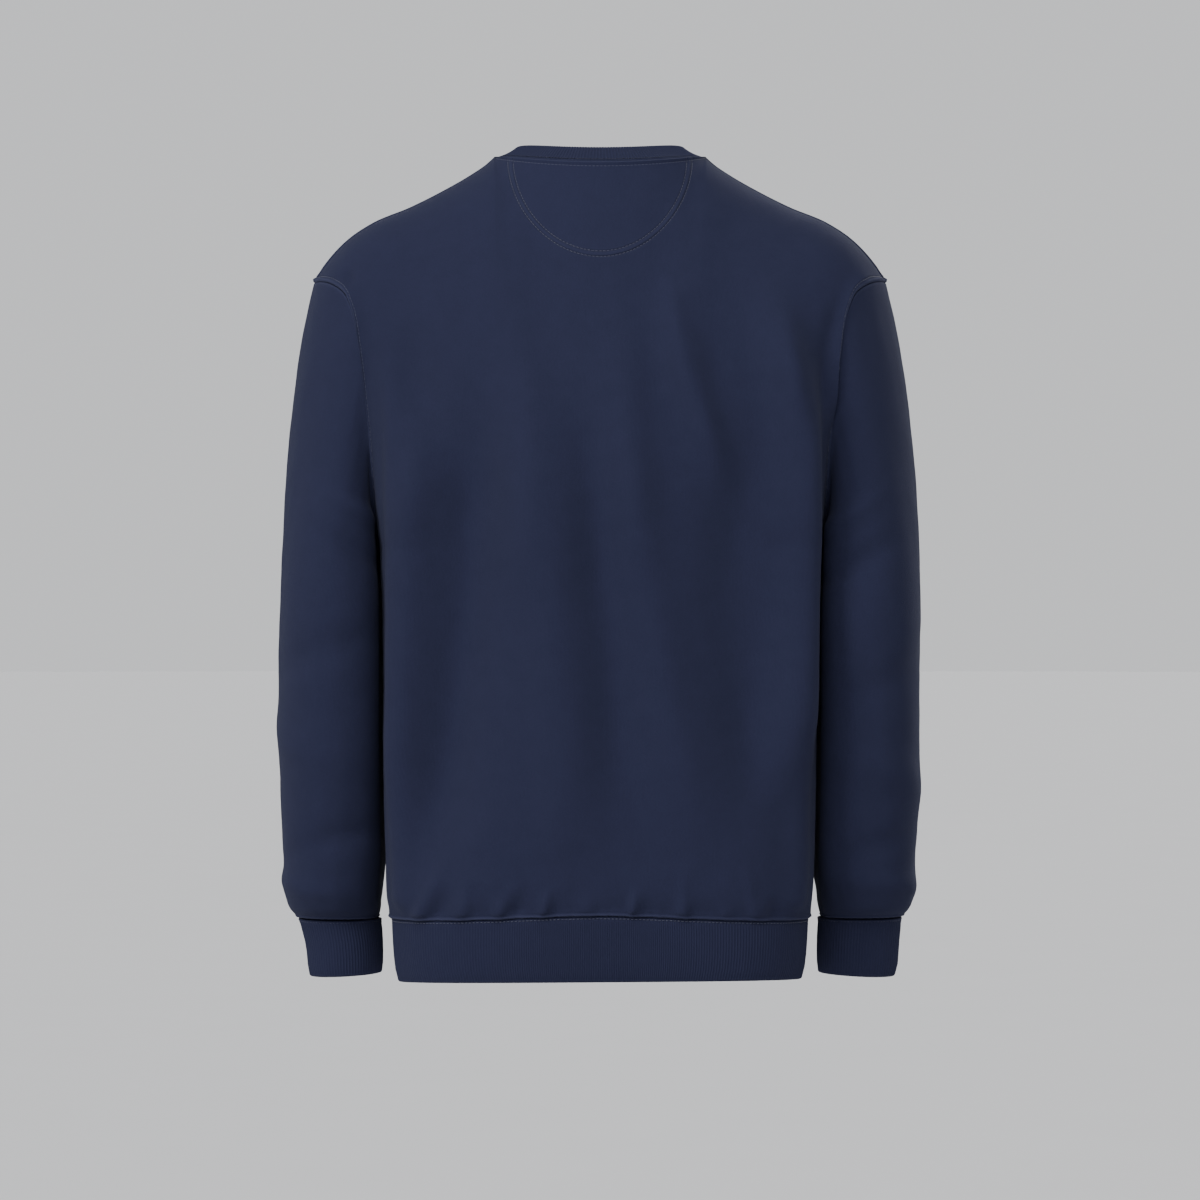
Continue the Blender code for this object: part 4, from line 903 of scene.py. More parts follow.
def sleeve_distances(side, share, along):
    """Metres from a point of a sleeve to the armhole and to the cuff."""
    turns = np.linspace(0.0, 1.0, SLEEVE_PLACES)
    top_speed = speed(partial(sleeve_surface, SLEEVE[side]), turns, np.zeros_like(turns), 0.0, LENGTH_STEP)
    cuff_speed = abs(SLEEVE_RING_Z - SLEEVE[side][0].z)
    to_armhole = along * np.interp(np.mod(share, 1.0), turns, top_speed)
    return np.maximum(to_armhole, 0.0), np.maximum((2.0 - along) * cuff_speed, 0.0)


def fine_sleeve(side, share, along):
    """The outer points of a sleeve with all its folds and seams, and its normals."""
    points, normals = sleeve_points(side, share, along)
    to_armhole, to_cuff = sleeve_distances(side, share, along)
    lift = seam_shape(to_armhole, proud=0.0, sewn=0.0, rolled=0.2)
    lift = lift + seam_shape(to_cuff, sewn=0.0, rolled=0.25) - SLEEVE_TUCK * ease(TUCK_LENGTH, 0.0, to_cuff)
    present = ease(*SLEEVE_CORNER_LOW, along) * (1.0 - ease(*SLEEVE_CORNER_HIGH, along))
    for corner in SLEEVE_CORNERS:
        lift = lift + SLEEVE_CORNER_HEIGHT * bell(share - corner, SLEEVE_CORNER_WIDTH) * present
    turn = share * FULL_TURN
    around = SLEEVE_WAVE_BACK * np.sin(turn) + SLEEVE_WAVE_OUT * np.cos(turn)
    open_cloth = clear_of_seams(((to_armhole, WAVE_CLEAR), (to_cuff, FOLD_CLEAR)))
    lift = lift + unevenness(around, points[..., 2], 3.0 + SIDES[side]) * open_cloth
    lift = lift + pucker(share * SLEEVE_GIRTH, to_cuff, 4.0)
    mirror = point(SIDES[side], 1.0, 1.0)
    moved = clear_of_trunk((points + normals * lift[..., None]) * mirror,
                           ease(FINE_BLEND_START, BLEND_START, along))
    return moved * mirror, normals


# ---------------------------------------------------------------- meshes
def quad_rows(rows, columns, start, wrap, flip):
    """Faces between the rows of a grid whose first point is number start, as an array of corners."""
    last = columns if wrap else columns - 1
    row, place = np.meshgrid(np.arange(rows - 1), np.arange(last), indexing="ij")
    right = (place + 1) % columns
    faces = np.stack((row * columns + place, row * columns + right, (row + 1) * columns + right,
                      (row + 1) * columns + place), axis=-1).reshape(-1, 4) + start
    return faces[:, ::-1] if flip else faces


def edge_faces(numbers, count, wrap):
    following = np.roll(numbers, -1) if wrap else numbers[1:]
    numbers = numbers if wrap else numbers[:-1]
    return np.stack((numbers, following, following + count, numbers + count), axis=-1)


def lay_out(mesh, places):
    """Gives a mesh its places in metres, with those of the last column of a closed grid past its end."""
    corners = np.empty(len(mesh.loops), dtype=np.int32)
    mesh.loops.foreach_get("vertex_index", corners)
    at_corners = places[corners]
    across = at_corners[:, 0].reshape(-1, 4)
    reach = np.ptp(across, axis=1)
    closing = reach[:, None] > 0.5 * np.ptp(places[:, 0])
    first_column = closing & (across < across.mean(axis=1, keepdims=True))
    following = across.max(axis=1, keepdims=True) + np.median(reach)
    at_corners[:, 0] = np.where(first_column, following, across).ravel()
    layer = mesh.uv_layers.new(name="cloth")
    layer.data.foreach_set("uv", at_corners.astype(np.float32).ravel())


def add_object(name, mesh):
    piece = bpy.data.objects.new(name, mesh)
    bpy.context.scene.collection.objects.link(piece)
    return piece


def make_mesh(name, points, faces, face_slots, materials, values):
    """A mesh object with smooth faces, its materials, and values at its points; uv holds metres."""
    mesh = bpy.data.meshes.new(name)
    mesh.from_pydata(points.tolist(), [], faces.tolist())
    for material in materials:
        mesh.materials.append(material)
    mesh.polygons.foreach_set("material_index", np.asarray(face_slots, dtype=np.int32))
    lay_out(mesh, values.pop("uv"))
    for label, data in values.items():
        attribute = mesh.attributes.new(label, "FLOAT", "POINT")
        attribute.data.foreach_set("value", data.astype(np.float32))
    mesh.update()
    piece = add_object(name, mesh)
    shape = bmesh.new()
    shape.from_mesh(mesh)
    bmesh.ops.recalc_face_normals(shape, faces=shape.faces)
    shape.to_mesh(mesh)
    shape.free()
    mesh.shade_smooth()
    return piece


def cloth_wall(name, outer, inner, wrap, materials, values):
    """A wall between two grids. Its outer side takes the first material and its inner side the second."""
    rows, columns = outer.shape[:2]
    count = rows * columns
    outside = quad_rows(rows, columns, 0, wrap, False)
    inside = quad_rows(rows, columns, count, wrap, True)
    grid = np.arange(count).reshape(rows, columns)
    edges = [edge_faces(grid[0], count, wrap), edge_faces(grid[-1], count, wrap)]
    if not wrap:
        edges += [edge_faces(grid[:, 0], count, False), edge_faces(grid[:, -1], count, False)]
    edges = np.concatenate(edges)
    faces = np.concatenate((outside, inside, edges))
    slots = [0] * len(outside) + [1] * len(inside) + [0] * len(edges)
    points = np.concatenate((outer.reshape(-1, 3), inner.reshape(-1, 3)))
    doubled = {label: np.concatenate((data.reshape(count, -1), data.reshape(count, -1))).squeeze()
               for label, data in values.items()}
    return make_mesh(name, points, faces, slots, materials, doubled)


# ---------------------------------------------------------------- materials
class Shade:
    """A number inside a material. A sum, product or power of it adds a Math node."""
    def __init__(self, finish, socket):
        self.finish = finish
        self.socket = socket

    def math(self, operation, *others):
        values = dict(enumerate((self,) + others))
        return self.finish.node("ShaderNodeMath", {"operation": operation}, values)

    def __add__(self, other):
        return self.math("ADD", other)

    def __sub__(self, other):
        return self.math("SUBTRACT", other)

    def __rsub__(self, other):
        return self * -1.0 + other

    def __mul__(self, other):
        return self.math("MULTIPLY", other)

    def __truediv__(self, other):
        return self.math("DIVIDE", other)

    def __rtruediv__(self, other):
        return self.finish.node("ShaderNodeMath", {"operation": "DIVIDE"}, {0: other, 1: self})

    __radd__ = __add__
    __rmul__ = __mul__

    def bell(self, width):
        """1 where the number is 0, falling to 0 a few widths away."""
        scaled = self / width
        return 1.0 / (scaled * scaled + 1.0).math("POWER", 2.0)


class Finish:
    """A material under construction."""
    def __init__(self, name, constants):
        self.material = bpy.data.materials.new(name)
        self.material.use_nodes = True
        self.tree = self.material.node_tree
        self.shader = self.tree.nodes["Principled BSDF"]
        for label, value in constants.items():
            self.shader.inputs[label].default_value = value

    def node(self, kind, settings=None, values=None, output=0):
        """Adds a node: its settings come first, then the values or links of its sockets."""
        made = self.tree.nodes.new(kind)
        for label, value in (settings or {}).items():
            setattr(made, label, value)
        for label, value in (values or {}).items():
            self.join(made.inputs[label], value)
        return Shade(self, made.outputs[output])

    def join(self, socket, value):
        if isinstance(value, Shade):
            self.tree.links.new(value.socket, socket)
        else:
            socket.default_value = value

    def feed(self, label, value):
        self.join(self.shader.inputs[label], value)

    def mix(self, factor, one, two):
        """A colour between two colours."""
        values = {0: factor, 6: one, 7: two}
        return self.node("ShaderNodeMix", {"data_type": "RGBA"}, values, 2)

    def at(self, label):
        """The number that a mesh holds at its points under this name."""
        return self.node("ShaderNodeAttribute", {"attribute_name": label}, output=2)

    def noise(self, scale, detail=2.0, roughness=0.5):
        place = self.node("ShaderNodeTexCoord", output=3)
        values = {"Vector": place, "Scale": scale, "Detail": detail, "Roughness": roughness}
        return self.node("ShaderNodeTexNoise", None, values)

    def uv(self):
        """The cloth's own two directions, in metres: across and along."""
        coordinates = self.node("ShaderNodeUVMap", {"uv_map": "cloth"})
        split = self.node("ShaderNodeSeparateXYZ", None, {0: coordinates})
        return split, Shade(self, split.socket.node.outputs[1])

    def bump(self, height):
        """Feeds a height in metres to the shader's normal."""
        normal = self.node("ShaderNodeBump", None, {"Strength": 1.0, "Distance": 1.0, "Height": height})
        self.feed("Normal", normal)


def knit(finish, wale, course):
    """The height of a plain knit's stitches, from 0 to 1, one wale and one course apart in metres."""
    across, along = finish.uv()
    side = (across / wale).math("PINGPONG", 0.5) * 2.0
    lean = (along / course - side * LOOP_LEAN).math("FRACT")
    loop = (lean - 0.5).math("ABSOLUTE") * 2.0
    return (1.0 - side * side) * (1.0 - loop * loop * LOOP_GAP)


def colour(red, green, blue):
    return (red, green, blue, 1.0)


NAVY_DEEP = colour(0.0116, 0.013, 0.0296)
NAVY_SOFT = colour(0.0184, 0.0204, 0.0454)
# a paler navy for the brushed tufts, the thread's twist and the pale seam lines, which are partly painted
# highlight
NAVY_PALE = colour(0.036, 0.04, 0.078)
COTTON = {"Roughness": 0.96, "Sheen Weight": 0.04, "Sheen Roughness": 0.5,
          "Sheen Tint": colour(0.62, 0.66, 0.9), "Specular IOR Level": 0.06}
YARN = {"Roughness": 0.6, "Sheen Weight": 0.2, "Specular IOR Level": 0.4}
PAPER = {"Roughness": 0.95}
PAPER_DARK = colour(0.652, 0.652, 0.662)
PAPER_PALE = colour(0.672, 0.672, 0.682)

# bumps and patterns of the cloth: heights and widths in metres, scales as so many to a metre
KNIT_HEIGHT = 0.0001
LOOP_LEAN, LOOP_GAP = 0.8, 0.8   # how far a stitch's legs lean, and how deep the cloth is between two
JERSEY_WALE, JERSEY_COURSE = 0.0011, 0.0009
RIB_WALE, RIB_COURSE = 0.0012, 0.0011
NAP_SCALE, NAP_HEIGHT = 1500.0, 0.00012
TUFT_SCALE, TUFT_HEIGHT = 420.0, 0.0009
HAIR_SCALE, HAIR_HEIGHT = 1800.0, 0.0003
TWIST_SCALE = 1300.0
MOTTLE_SCALE, FLECK_SCALE = 70.0, 900.0
MOTTLE_SHARE = 0.35        # how much of the mottle is broad, the rest being flecks
# painted shade between a rib band's ribs, as a share of the way to the deepest navy
GROOVE_PAINTED_SHADE = 0.35
NEEDLE_WIDTH, NEEDLE_DEPTH = 0.0008, 0.0009   # the dents of the half-moon's two rows of stitches
DOUBLED_WIDTH, DOUBLED_HEIGHT = 0.0034, 0.0008   # and the ridge of doubled cloth under them
MOON_WEAR, MOON_WEAR_WIDTH, MOON_WEAR_SCALE = 0.2, 0.003, 26.0


def mottled_navy(cloth):
    """Navy with a faint mottle, from the yarns' uneven dye."""
    mottle = cloth.noise(MOTTLE_SCALE, detail=4.0, roughness=0.6) * MOTTLE_SHARE
    flecks = cloth.noise(FLECK_SCALE) * (1.0 - MOTTLE_SHARE)
    return cloth.mix(mottle + flecks, NAVY_DEEP, NAVY_SOFT)


def jersey():
    """Fine plain knit, slightly mottled, paler along the half-moon's rows and beside its seams, where the
    pale lines are partly seam wear and partly painted highlight.
    """
    cloth = Finish("navy_jersey", COTTON)
    moon = cloth.at("moon")
    # pale seam lines, partly wear and partly painted highlight, and the half-moon's rows worn paler
    wear_and_highlight_share = cloth.at("wear_and_highlight") + moon.bell(MOON_WEAR_WIDTH) * cloth.noise(MOON_WEAR_SCALE) * MOON_WEAR
    cloth.feed("Base Color", cloth.mix(wear_and_highlight_share, mottled_navy(cloth), NAVY_PALE))
    stitches = knit(cloth, JERSEY_WALE, JERSEY_COURSE) * KNIT_HEIGHT
    nap = cloth.noise(NAP_SCALE, detail=3.0) * NAP_HEIGHT + cloth.noise(TUFT_SCALE) * KNIT_HEIGHT
    needles = ((moon - MOON_ROW).bell(NEEDLE_WIDTH) + (moon + MOON_ROW).bell(NEEDLE_WIDTH)) * -NEEDLE_DEPTH
    doubled = moon.bell(DOUBLED_WIDTH) * DOUBLED_HEIGHT
    cloth.bump(stitches + nap + needles + doubled)
    return cloth.material


def brushed_inside():
    """The brushed side of the fleece: short soft nap."""
    cloth = Finish("navy_brushed", COTTON)
    tufts = cloth.noise(TUFT_SCALE, detail=4.0, roughness=0.65)
    cloth.feed("Base Color", cloth.mix(tufts, NAVY_DEEP, NAVY_PALE))
    cloth.bump(tufts * TUFT_HEIGHT + cloth.noise(HAIR_SCALE) * HAIR_HEIGHT)
    return cloth.material


def ribbing():
    """Cotton rib, with painted shade darkening it between its ribs."""
    cloth = Finish("navy_ribbing", COTTON)
    # painted shade: darker where the cloth lies deep between two ribs
    between = cloth.at("groove") * GROOVE_PAINTED_SHADE
    cloth.feed("Base Color", cloth.mix(between, mottled_navy(cloth), NAVY_DEEP))
    nap = cloth.noise(NAP_SCALE, detail=3.0) * NAP_HEIGHT
    cloth.bump(knit(cloth, RIB_WALE, RIB_COURSE) * KNIT_HEIGHT + nap)
    return cloth.material


def thread():
    cloth = Finish("navy_thread", YARN)
    twist = cloth.noise(TWIST_SCALE, detail=1.0)
    cloth.feed("Base Color", cloth.mix(twist, NAVY_SOFT, NAVY_PALE))
    cloth.bump(twist * KNIT_HEIGHT)
    return cloth.material


# ---------------------------------------------------------------- the pieces
def dress(piece, node):
    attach(piece, "root")
    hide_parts(node)
    return piece


def grid_lengths(points):
    """Metres along the rows and the columns of a grid, from its middle column and its first row."""
    by_row = np.linalg.norm(np.diff(points, axis=1), axis=-1)
    rows = np.concatenate((np.zeros((len(points), 1)), np.cumsum(by_row, axis=1)), axis=1)
    rows = rows - rows[:, rows.shape[1] // 2][:, None]
    middle = points[:, points.shape[1] // 2]
    steps = np.linalg.norm(np.diff(middle, axis=0), axis=-1)
    columns = np.concatenate(([0.0], np.cumsum(steps)))[:, None] + 0.0 * rows
    return np.stack((rows, columns), axis=-1)


def moon_distance(x, z):
    """Metres from the half-moon's line, below zero inside it."""
    drop = z - neck_point(np.arcsin(np.clip(x / NECK_HALF_WIDTH, -1.0, 1.0)))[..., 2]
    wide = x / MOON_HALF_WIDTH
    deep = drop / MOON_DEPTH
    slope = 2.0 * np.sqrt((wide / MOON_HALF_WIDTH) ** 2 + (deep / MOON_DEPTH) ** 2)
    away = (wide ** 2 + deep ** 2 - 1.0) / np.maximum(slope, 1e-3)
    return np.clip(away, -MOON_FAR, MOON_FAR)


# A pale line beside a seam: partly seam wear, partly painted highlight where the seam's edge catches the
# light
def wear_and_highlight_line(wear_and_highlight, distance):
    return wear_and_highlight.strength * bell(distance - wear_and_highlight.distance, wear_and_highlight.width)


def make_panel(name, node, facing, materials):
    across = (stations(HALF_GIRTH) * 2.0 - 1.0) * SEAM_EDGE
    neck_end = np.argmin(abs(across + NECK_SHARE))
    across[neck_end] = -NECK_SHARE
    across[len(across) - 1 - neck_end] = NECK_SHARE
    across, along = np.meshgrid(across, stations(PANEL_LENGTH) * 2.0)
    outer, normals = fine_panel(across, along, facing)
    at_shoulder = (along >= 2.0) & (abs(across) >= NECK_SHARE)
    outer = outer + point(0.0, facing * SEAM_GAP / 2.0, 0.0) * at_shoulder[..., None]
    x, z = outer[..., 0], outer[..., 2]
    to_side, to_top, to_hem = panel_distances(across, along, facing)
    # pale seam lines, partly painted highlight; the hem's line is stronger at the wearer's left, where the
    # key light falls
    more = HEM_PAINTED_HIGHLIGHT_MORE * ease(HEM_PAINTED_HIGHLIGHT_FROM, HEM_PAINTED_HIGHLIGHT_TO, x)
    wear_and_highlight = wear_and_highlight_line(HEM_WEAR_AND_HIGHLIGHT._replace(strength=HEM_WEAR_AND_HIGHLIGHT.strength + more), to_hem)
    wear_and_highlight = wear_and_highlight + wear_and_highlight_line(TOP_WEAR_AND_HIGHLIGHT, to_top) + wear_and_highlight_line(ARMHOLE_WEAR_AND_HIGHLIGHT, to_side) * (along > 1.0)
    moon = moon_distance(x, z) if facing == BACK else np.full_like(x, MOON_FAR)
    values = {"uv": grid_lengths(outer), "wear_and_highlight": wear_and_highlight, "moon": moon}
    piece = cloth_wall(name, outer, outer - normals * FLEECE, False, materials, values)
    return dress(piece, node)


def make_sleeve(side, materials):
    columns = round(SLEEVE_GIRTH / FINE_STEP)
    share, along = np.meshgrid(np.arange(columns) / columns, stations(SLEEVE_LENGTH) * 2.0)
    outer, normals = fine_sleeve(side, share, along)
    # a pale line beside the armhole and the cuff, partly painted highlight
    wear_and_highlight = wear_and_highlight_line(SLEEVE_WEAR_AND_HIGHLIGHT, np.minimum(*sleeve_distances(side, share, along)))
    values = {"uv": grid_lengths(outer), "wear_and_highlight": wear_and_highlight, "moon": np.full_like(share, MOON_FAR)}
    piece = cloth_wall(side + "_sleeve", outer, outer - normals * FLEECE, True, materials, values)
    return dress(piece, "sleeve_" + side)


# A band at its seam: distance from it, how far in, share of the flare and how much the ribs show;
# and on its face: share of the way to its lower edge and how much the ribs show
RIB_SEAM = (
    (0.0, 0.0005, 1.0, 0.2),
    (0.0006, 0.0002, 1.0, 0.3),
    (0.0014, 0.0, 0.8, 0.4),
    (RIB_NEEDLE, 0.0003, 0.6, 0.3),
    (0.0024, 0.0, 0.5, 0.7),
)
RIB_FACE = ((0.1, 0.9), (0.2, 1.0), (0.4, 1.0), (0.6, 1.0), (0.8, 1.0))
RIB_ROUNDNESS = 0.45       # of its lower edge, as a share of its thickness
RIB_NARROWNESS = 0.8
WAIST_RIBS, CUFF_RIBS, COLLAR_RIBS = 456, 80, 196
COLLAR_TOP = -0.0005       # the collar reaches this far under its seam


def rib_profile(top, bottom, flare=0.0):
    """Corners of a doubled rib band's cut: how far along it, how far in, and how much its ribs show.

    The first corners hold its seam's edge and its row of stitches, and its lower edge is rounded.
    """
    radius = RIB * RIB_ROUNDNESS
    way = 1.0 if bottom > top else -1.0
    side = [(top + way * distance, sunk - flare * share, shown)
            for distance, sunk, share, shown in RIB_SEAM]
    side += [(top + (bottom - top) * share, 0.0, shown) for share, shown in RIB_FACE]
    turn_in = [(bottom - way * radius * (1.0 - math.sin(turn)), radius * (1.0 - math.cos(turn)), 1.0)
               for turn in (0.0, math.radians(30.0), math.radians(60.0), QUARTER_TURN)]
    turn_up = [(along, RIB - inward, shown) for along, inward, shown in turn_in[::-1]]
    back = [(along, RIB, shown) for along, _, shown in side[::-3]]
    return side + turn_in + turn_up + back


def rib_wave(ribs):
    """How deep the cloth lies at each point round a rib band: 0 on a rib, 1 between two."""
    turn = np.arange(ribs * POINTS_PER_RIB) / POINTS_PER_RIB * FULL_TURN
    return (0.5 - 0.5 * np.cos(turn)) ** RIB_NARROWNESS


def make_band(name, node, ribs, profile, ring_at, materials):
    """A closed rib band: ring_at(along) gives its ring of points and their outward directions."""
    wave = rib_wave(ribs)
    columns = len(wave)
    across = np.arange(columns) * RIB_PITCH / POINTS_PER_RIB
    rings, uv, run = [], [], 0.0
    before = profile[0]
    for along, inward, shown in profile:
        points, outward = ring_at(along)
        outer_side = 1.0 if inward < RIB / 2.0 else -1.0
        rings.append(points - outward * (inward + outer_side * RIB_DEPTH * wave * shown)[:, None])
        run += math.dist(before[:2], (along, inward))
        before = (along, inward)
        uv.append(np.stack((across, run + 0.0 * wave), axis=-1))
    last = (len(rings) - 1) * columns
    place = np.arange(columns)
    right = (place + 1) % columns
    closing = np.stack((last + place, last + right, right, place), axis=-1)
    faces = np.concatenate((quad_rows(len(rings), columns, 0, wrap=True, flip=False), closing))
    # how deep the cloth lies between ribs, which the ribbing turns into painted shade
    grooves = np.concatenate([wave * shown for _, _, shown in profile])
    values = {"uv": np.concatenate(uv), "groove": grooves}
    piece = make_mesh(name, np.concatenate(rings), faces, [0] * len(faces), materials, values)
    return dress(piece, node)


def ring_of_turns(ribs):
    return np.arange(ribs * POINTS_PER_RIB) / (ribs * POINTS_PER_RIB)


def waist_ring(angle, level):
    """The waistband's ring at a level between its seam and its lower edge, and its outward directions."""
    seam = hem_seam_z(angle) - SEAM_GAP
    share = (level - HEM_SEAM_Z) / (HEM_Z - HEM_SEAM_Z)
    z = seam + (hem_z(angle) - seam) * share
    ring = trunk_ring(WAISTBAND, angle, z, level + 0.0 * angle)
    return ring, unit(ring * WAISTBAND_INWARD)


def make_waistband(materials):
    ring_at = partial(waist_ring, ring_of_turns(WAIST_RIBS) * FULL_TURN)
    profile = rib_profile(HEM_SEAM_Z, HEM_Z)
    return make_band("waist_rib", "waistband", WAIST_RIBS, profile, ring_at, materials)


def cuff_ring(side, share, level):
    """A cuff's ring at a level, and its outward directions."""
    cuts = CUFF[side]
    top = cuts[-1].z - SEAM_GAP
    mirror = point(SIDES[side], 1.0, 1.0)
    ring = sleeve_ring(cuts, share, level + 0.0 * share, CUFF_SQUARE)
    outward = unit(ring - ring.mean(axis=0))
    tilt = CUFF_TILT * np.cos(share * FULL_TURN) * (top - level) / (top - cuts[0].z)
    return (ring - point(0.0, 0.0, tilt)) * mirror, outward * mirror


def make_cuff(side, materials):
    ring_at = partial(cuff_ring, side, ring_of_turns(CUFF_RIBS))
    profile = rib_profile(CUFF[side][-1].z - SEAM_GAP, CUFF[side][0].z, CUFF_FLARE)
    return make_band(side + "_cuff_rib", "cuff_" + side, CUFF_RIBS, profile, ring_at, materials)


def make_collar(materials):
    turn = ring_of_turns(COLLAR_RIBS) * FULL_TURN
    around = np.where(turn > math.pi, FULL_TURN - turn, turn)
    mirror = mirrored(math.pi - turn)
    base, seam_normal = neck_seam(around)

    def ring_at(along):
        way, outward = collar_lean(around, along)
        side = seam_normal if along < 0.0 else outward
        return (base + way) * mirror, side * mirror
    profile = rib_profile(COLLAR_TOP, COLLAR_WIDTH)
    return make_band("neck_rib", "collar", COLLAR_RIBS, profile, ring_at, materials)


def make_patch(materials):
    share, down = np.meshgrid(np.linspace(-PATCH_ARC, PATCH_ARC, PATCH_COLUMNS),
                              np.linspace(0.0, 1.0, PATCH_ROWS))
    x = PATCH_HALF_WIDTH * np.sin(share)
    turn = np.arcsin(x / NECK_HALF_WIDTH)
    z = neck_point(turn)[..., 2] - PATCH_BELOW_SEAM - PATCH_DEPTH * np.cos(share) * down
    across, along = find_on_back(x, z)
    outer, normals = panel_points(across, along, BACK)
    clearance = PATCH_CLEARANCE + PATCH_END_CLEARANCE * np.sin(share) ** 4
    face = outer - normals * (FLEECE + clearance)[..., None]
    values = {"uv": grid_lengths(face), "wear_and_highlight": 0.0 * share, "moon": np.full_like(share, MOON_FAR)}
    piece = cloth_wall("half_moon", face, face - normals * PATCH_WALL, False, materials, values)
    return dress(piece, "neck_patch")


# ---------------------------------------------------------------- stitches
AHEAD = 0.001              # from a stitch to the places before and behind it that give its direction
ROW_POINTS = 200           # places worked out along a row of stitches
ARMHOLE_ROW_POINTS = 260
WAIST_ROW_POINTS = 600
CUFF_ROW_POINTS = 160


def one_stitch():
    """Points and faces of one stitch of thread, along x with z out of the cloth."""
    bpy.ops.object.select_all(action="DESELECT")
    bpy.ops.mesh.primitive_uv_sphere_add(segments=6, ring_count=5, radius=0.5, location=(0.0, 0.0, 0.0))
    bead = bpy.context.object
    bpy.ops.object.mode_set(mode="EDIT")
    bpy.ops.mesh.select_all(action="SELECT")
    bpy.ops.transform.rotate(value=math.radians(90.0), orient_axis="Y", center_override=(0.0, 0.0, 0.0))
    bpy.ops.transform.resize(value=(STITCH_LENGTH, STITCH_THICKNESS, STITCH_THICKNESS))
    bpy.ops.object.mode_set(mode="OBJECT")
    points = np.array([vertex.co[:] for vertex in bead.data.vertices])
    faces = [tuple(face.vertices) for face in bead.data.polygons]
    bpy.data.objects.remove(bead, do_unlink=True)
    return points, faces


def sew(name, rows, stitch, material):
    """One piece with a stitch every pitch along each row of (points, normals)."""
    shape, faces = stitch
    placed = []
    for points, normals in rows:
        steps = np.linalg.norm(np.diff(points, axis=0), axis=1)
        run = np.concatenate(([0.0], np.cumsum(steps)))
        at = np.arange(STITCH_PITCH / 2.0, run[-1], STITCH_PITCH)
        middle, ahead, behind, up = (
            np.stack([np.interp(places, run, values[:, axis]) for axis in range(3)], axis=-1)
            for places, values in ((at, points), (at + AHEAD, points), (at - AHEAD, points), (at, normals)))
        onward = unit(ahead - behind)
        aside = unit(np.cross(unit(up), onward))
        ways = np.stack((onward, aside, np.cross(onward, aside)), axis=1)
        placed.append(middle[:, None, :] + shape @ ways)
    placed = np.concatenate(placed)
    mesh = bpy.data.meshes.new(name)
    all_faces = [tuple(corner + number * len(shape) for corner in face)
                 for number in range(len(placed)) for face in faces]
    mesh.from_pydata(placed.reshape(-1, 3).tolist(), [], all_faces)
    mesh.materials.append(material)
    mesh.shade_smooth()
    piece = add_object(name, mesh)
    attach(piece, "root")
    return piece


def armhole_row(facing, side):
    up = np.linspace(1.0, 2.0, ARMHOLE_ROW_POINTS)
    edge_speed = panel_distances(np.zeros_like(up), up, facing)[0] / SEAM_EDGE
    return fine_panel(side * (SEAM_EDGE - NEEDLE / edge_speed), up, facing)


def top_row(facing, low, high):
    """The row along a panel's top edge, between two places across it."""
    across = np.linspace(low, high, ROW_POINTS)
    top_speed = panel_distances(across, np.zeros_like(across), facing)[1] / 2.0
    return fine_panel(across, 2.0 - NEEDLE / top_speed, facing)


def waist_row():
    return waist_ring(np.linspace(0.0, FULL_TURN, WAIST_ROW_POINTS), HEM_SEAM_Z - RIB_NEEDLE)


def moon_row(offset):
    """One of the two rows that hold the half-moon, seen on the back."""
    turn = np.linspace(-MOON_ARC, MOON_ARC, ROW_POINTS)
    x = (MOON_HALF_WIDTH + offset) * np.sin(turn)
    z = neck_point(np.arcsin(x / NECK_HALF_WIDTH))[..., 2] - (MOON_DEPTH + offset) * np.cos(turn)
    return fine_panel(*find_on_back(x, z), BACK)


def cuff_row(side):
    share = np.linspace(0.0, 1.0, CUFF_ROW_POINTS)
    return cuff_ring(side, share, CUFF[side][-1].z - SEAM_GAP - RIB_NEEDLE)


# ---------------------------------------------------------------- the studio
CAMERA_DISTANCE = 3.4
SENSOR = 36.0              # millimetres
PIXEL = 0.00085            # metres to a pixel of the picture at the middle of the body
PICTURE_PIXELS = 1200      # across the picture and down it
ORIGIN_PIXEL = 158         # how far down the tops of the shoulder seams lie
PICTURE_WIDTH = PICTURE_PIXELS * PIXEL
PICTURE_MIDDLE_Z = (ORIGIN_PIXEL - PICTURE_PIXELS / 2) * PIXEL
FLOOR_Z = -1.5             # as far below the shoulders as a standing wearer's floor
CHEST = (0.0, 0.0, -0.3)
WORLD_COLOUR = colour(0.8, 0.81, 0.83)
WORLD_DIMMING = {"From Min": 0.25, "From Max": 0.9, "To Min": 0.95, "To Max": 0.58}


def aim(thing, target):
    direction = Vector(target) - thing.location
    thing.rotation_euler = direction.to_track_quat("-Z", "Y").to_euler()


def light(name, kind, place, target, power):
    """A lamp whose settings are returned, for its size to be set."""
    data = bpy.data.lights.new(name, kind)
    data.energy = power
    made = add_object(name, data)
    made.location = place
    aim(made, target)
    return data


def lamp(name, place, size, power):
    """A soft lamp, whose light falls off from the shoulders to the hem."""
    light(name, "AREA", place, CHEST, power).size = size


def sunlight(name, direction, spread, power):
    """A broad soft light from a direction, as even over the floor as on the garment."""
    light(name, "SUN", direction, (0.0, 0.0, 0.0), power).angle = math.radians(spread)


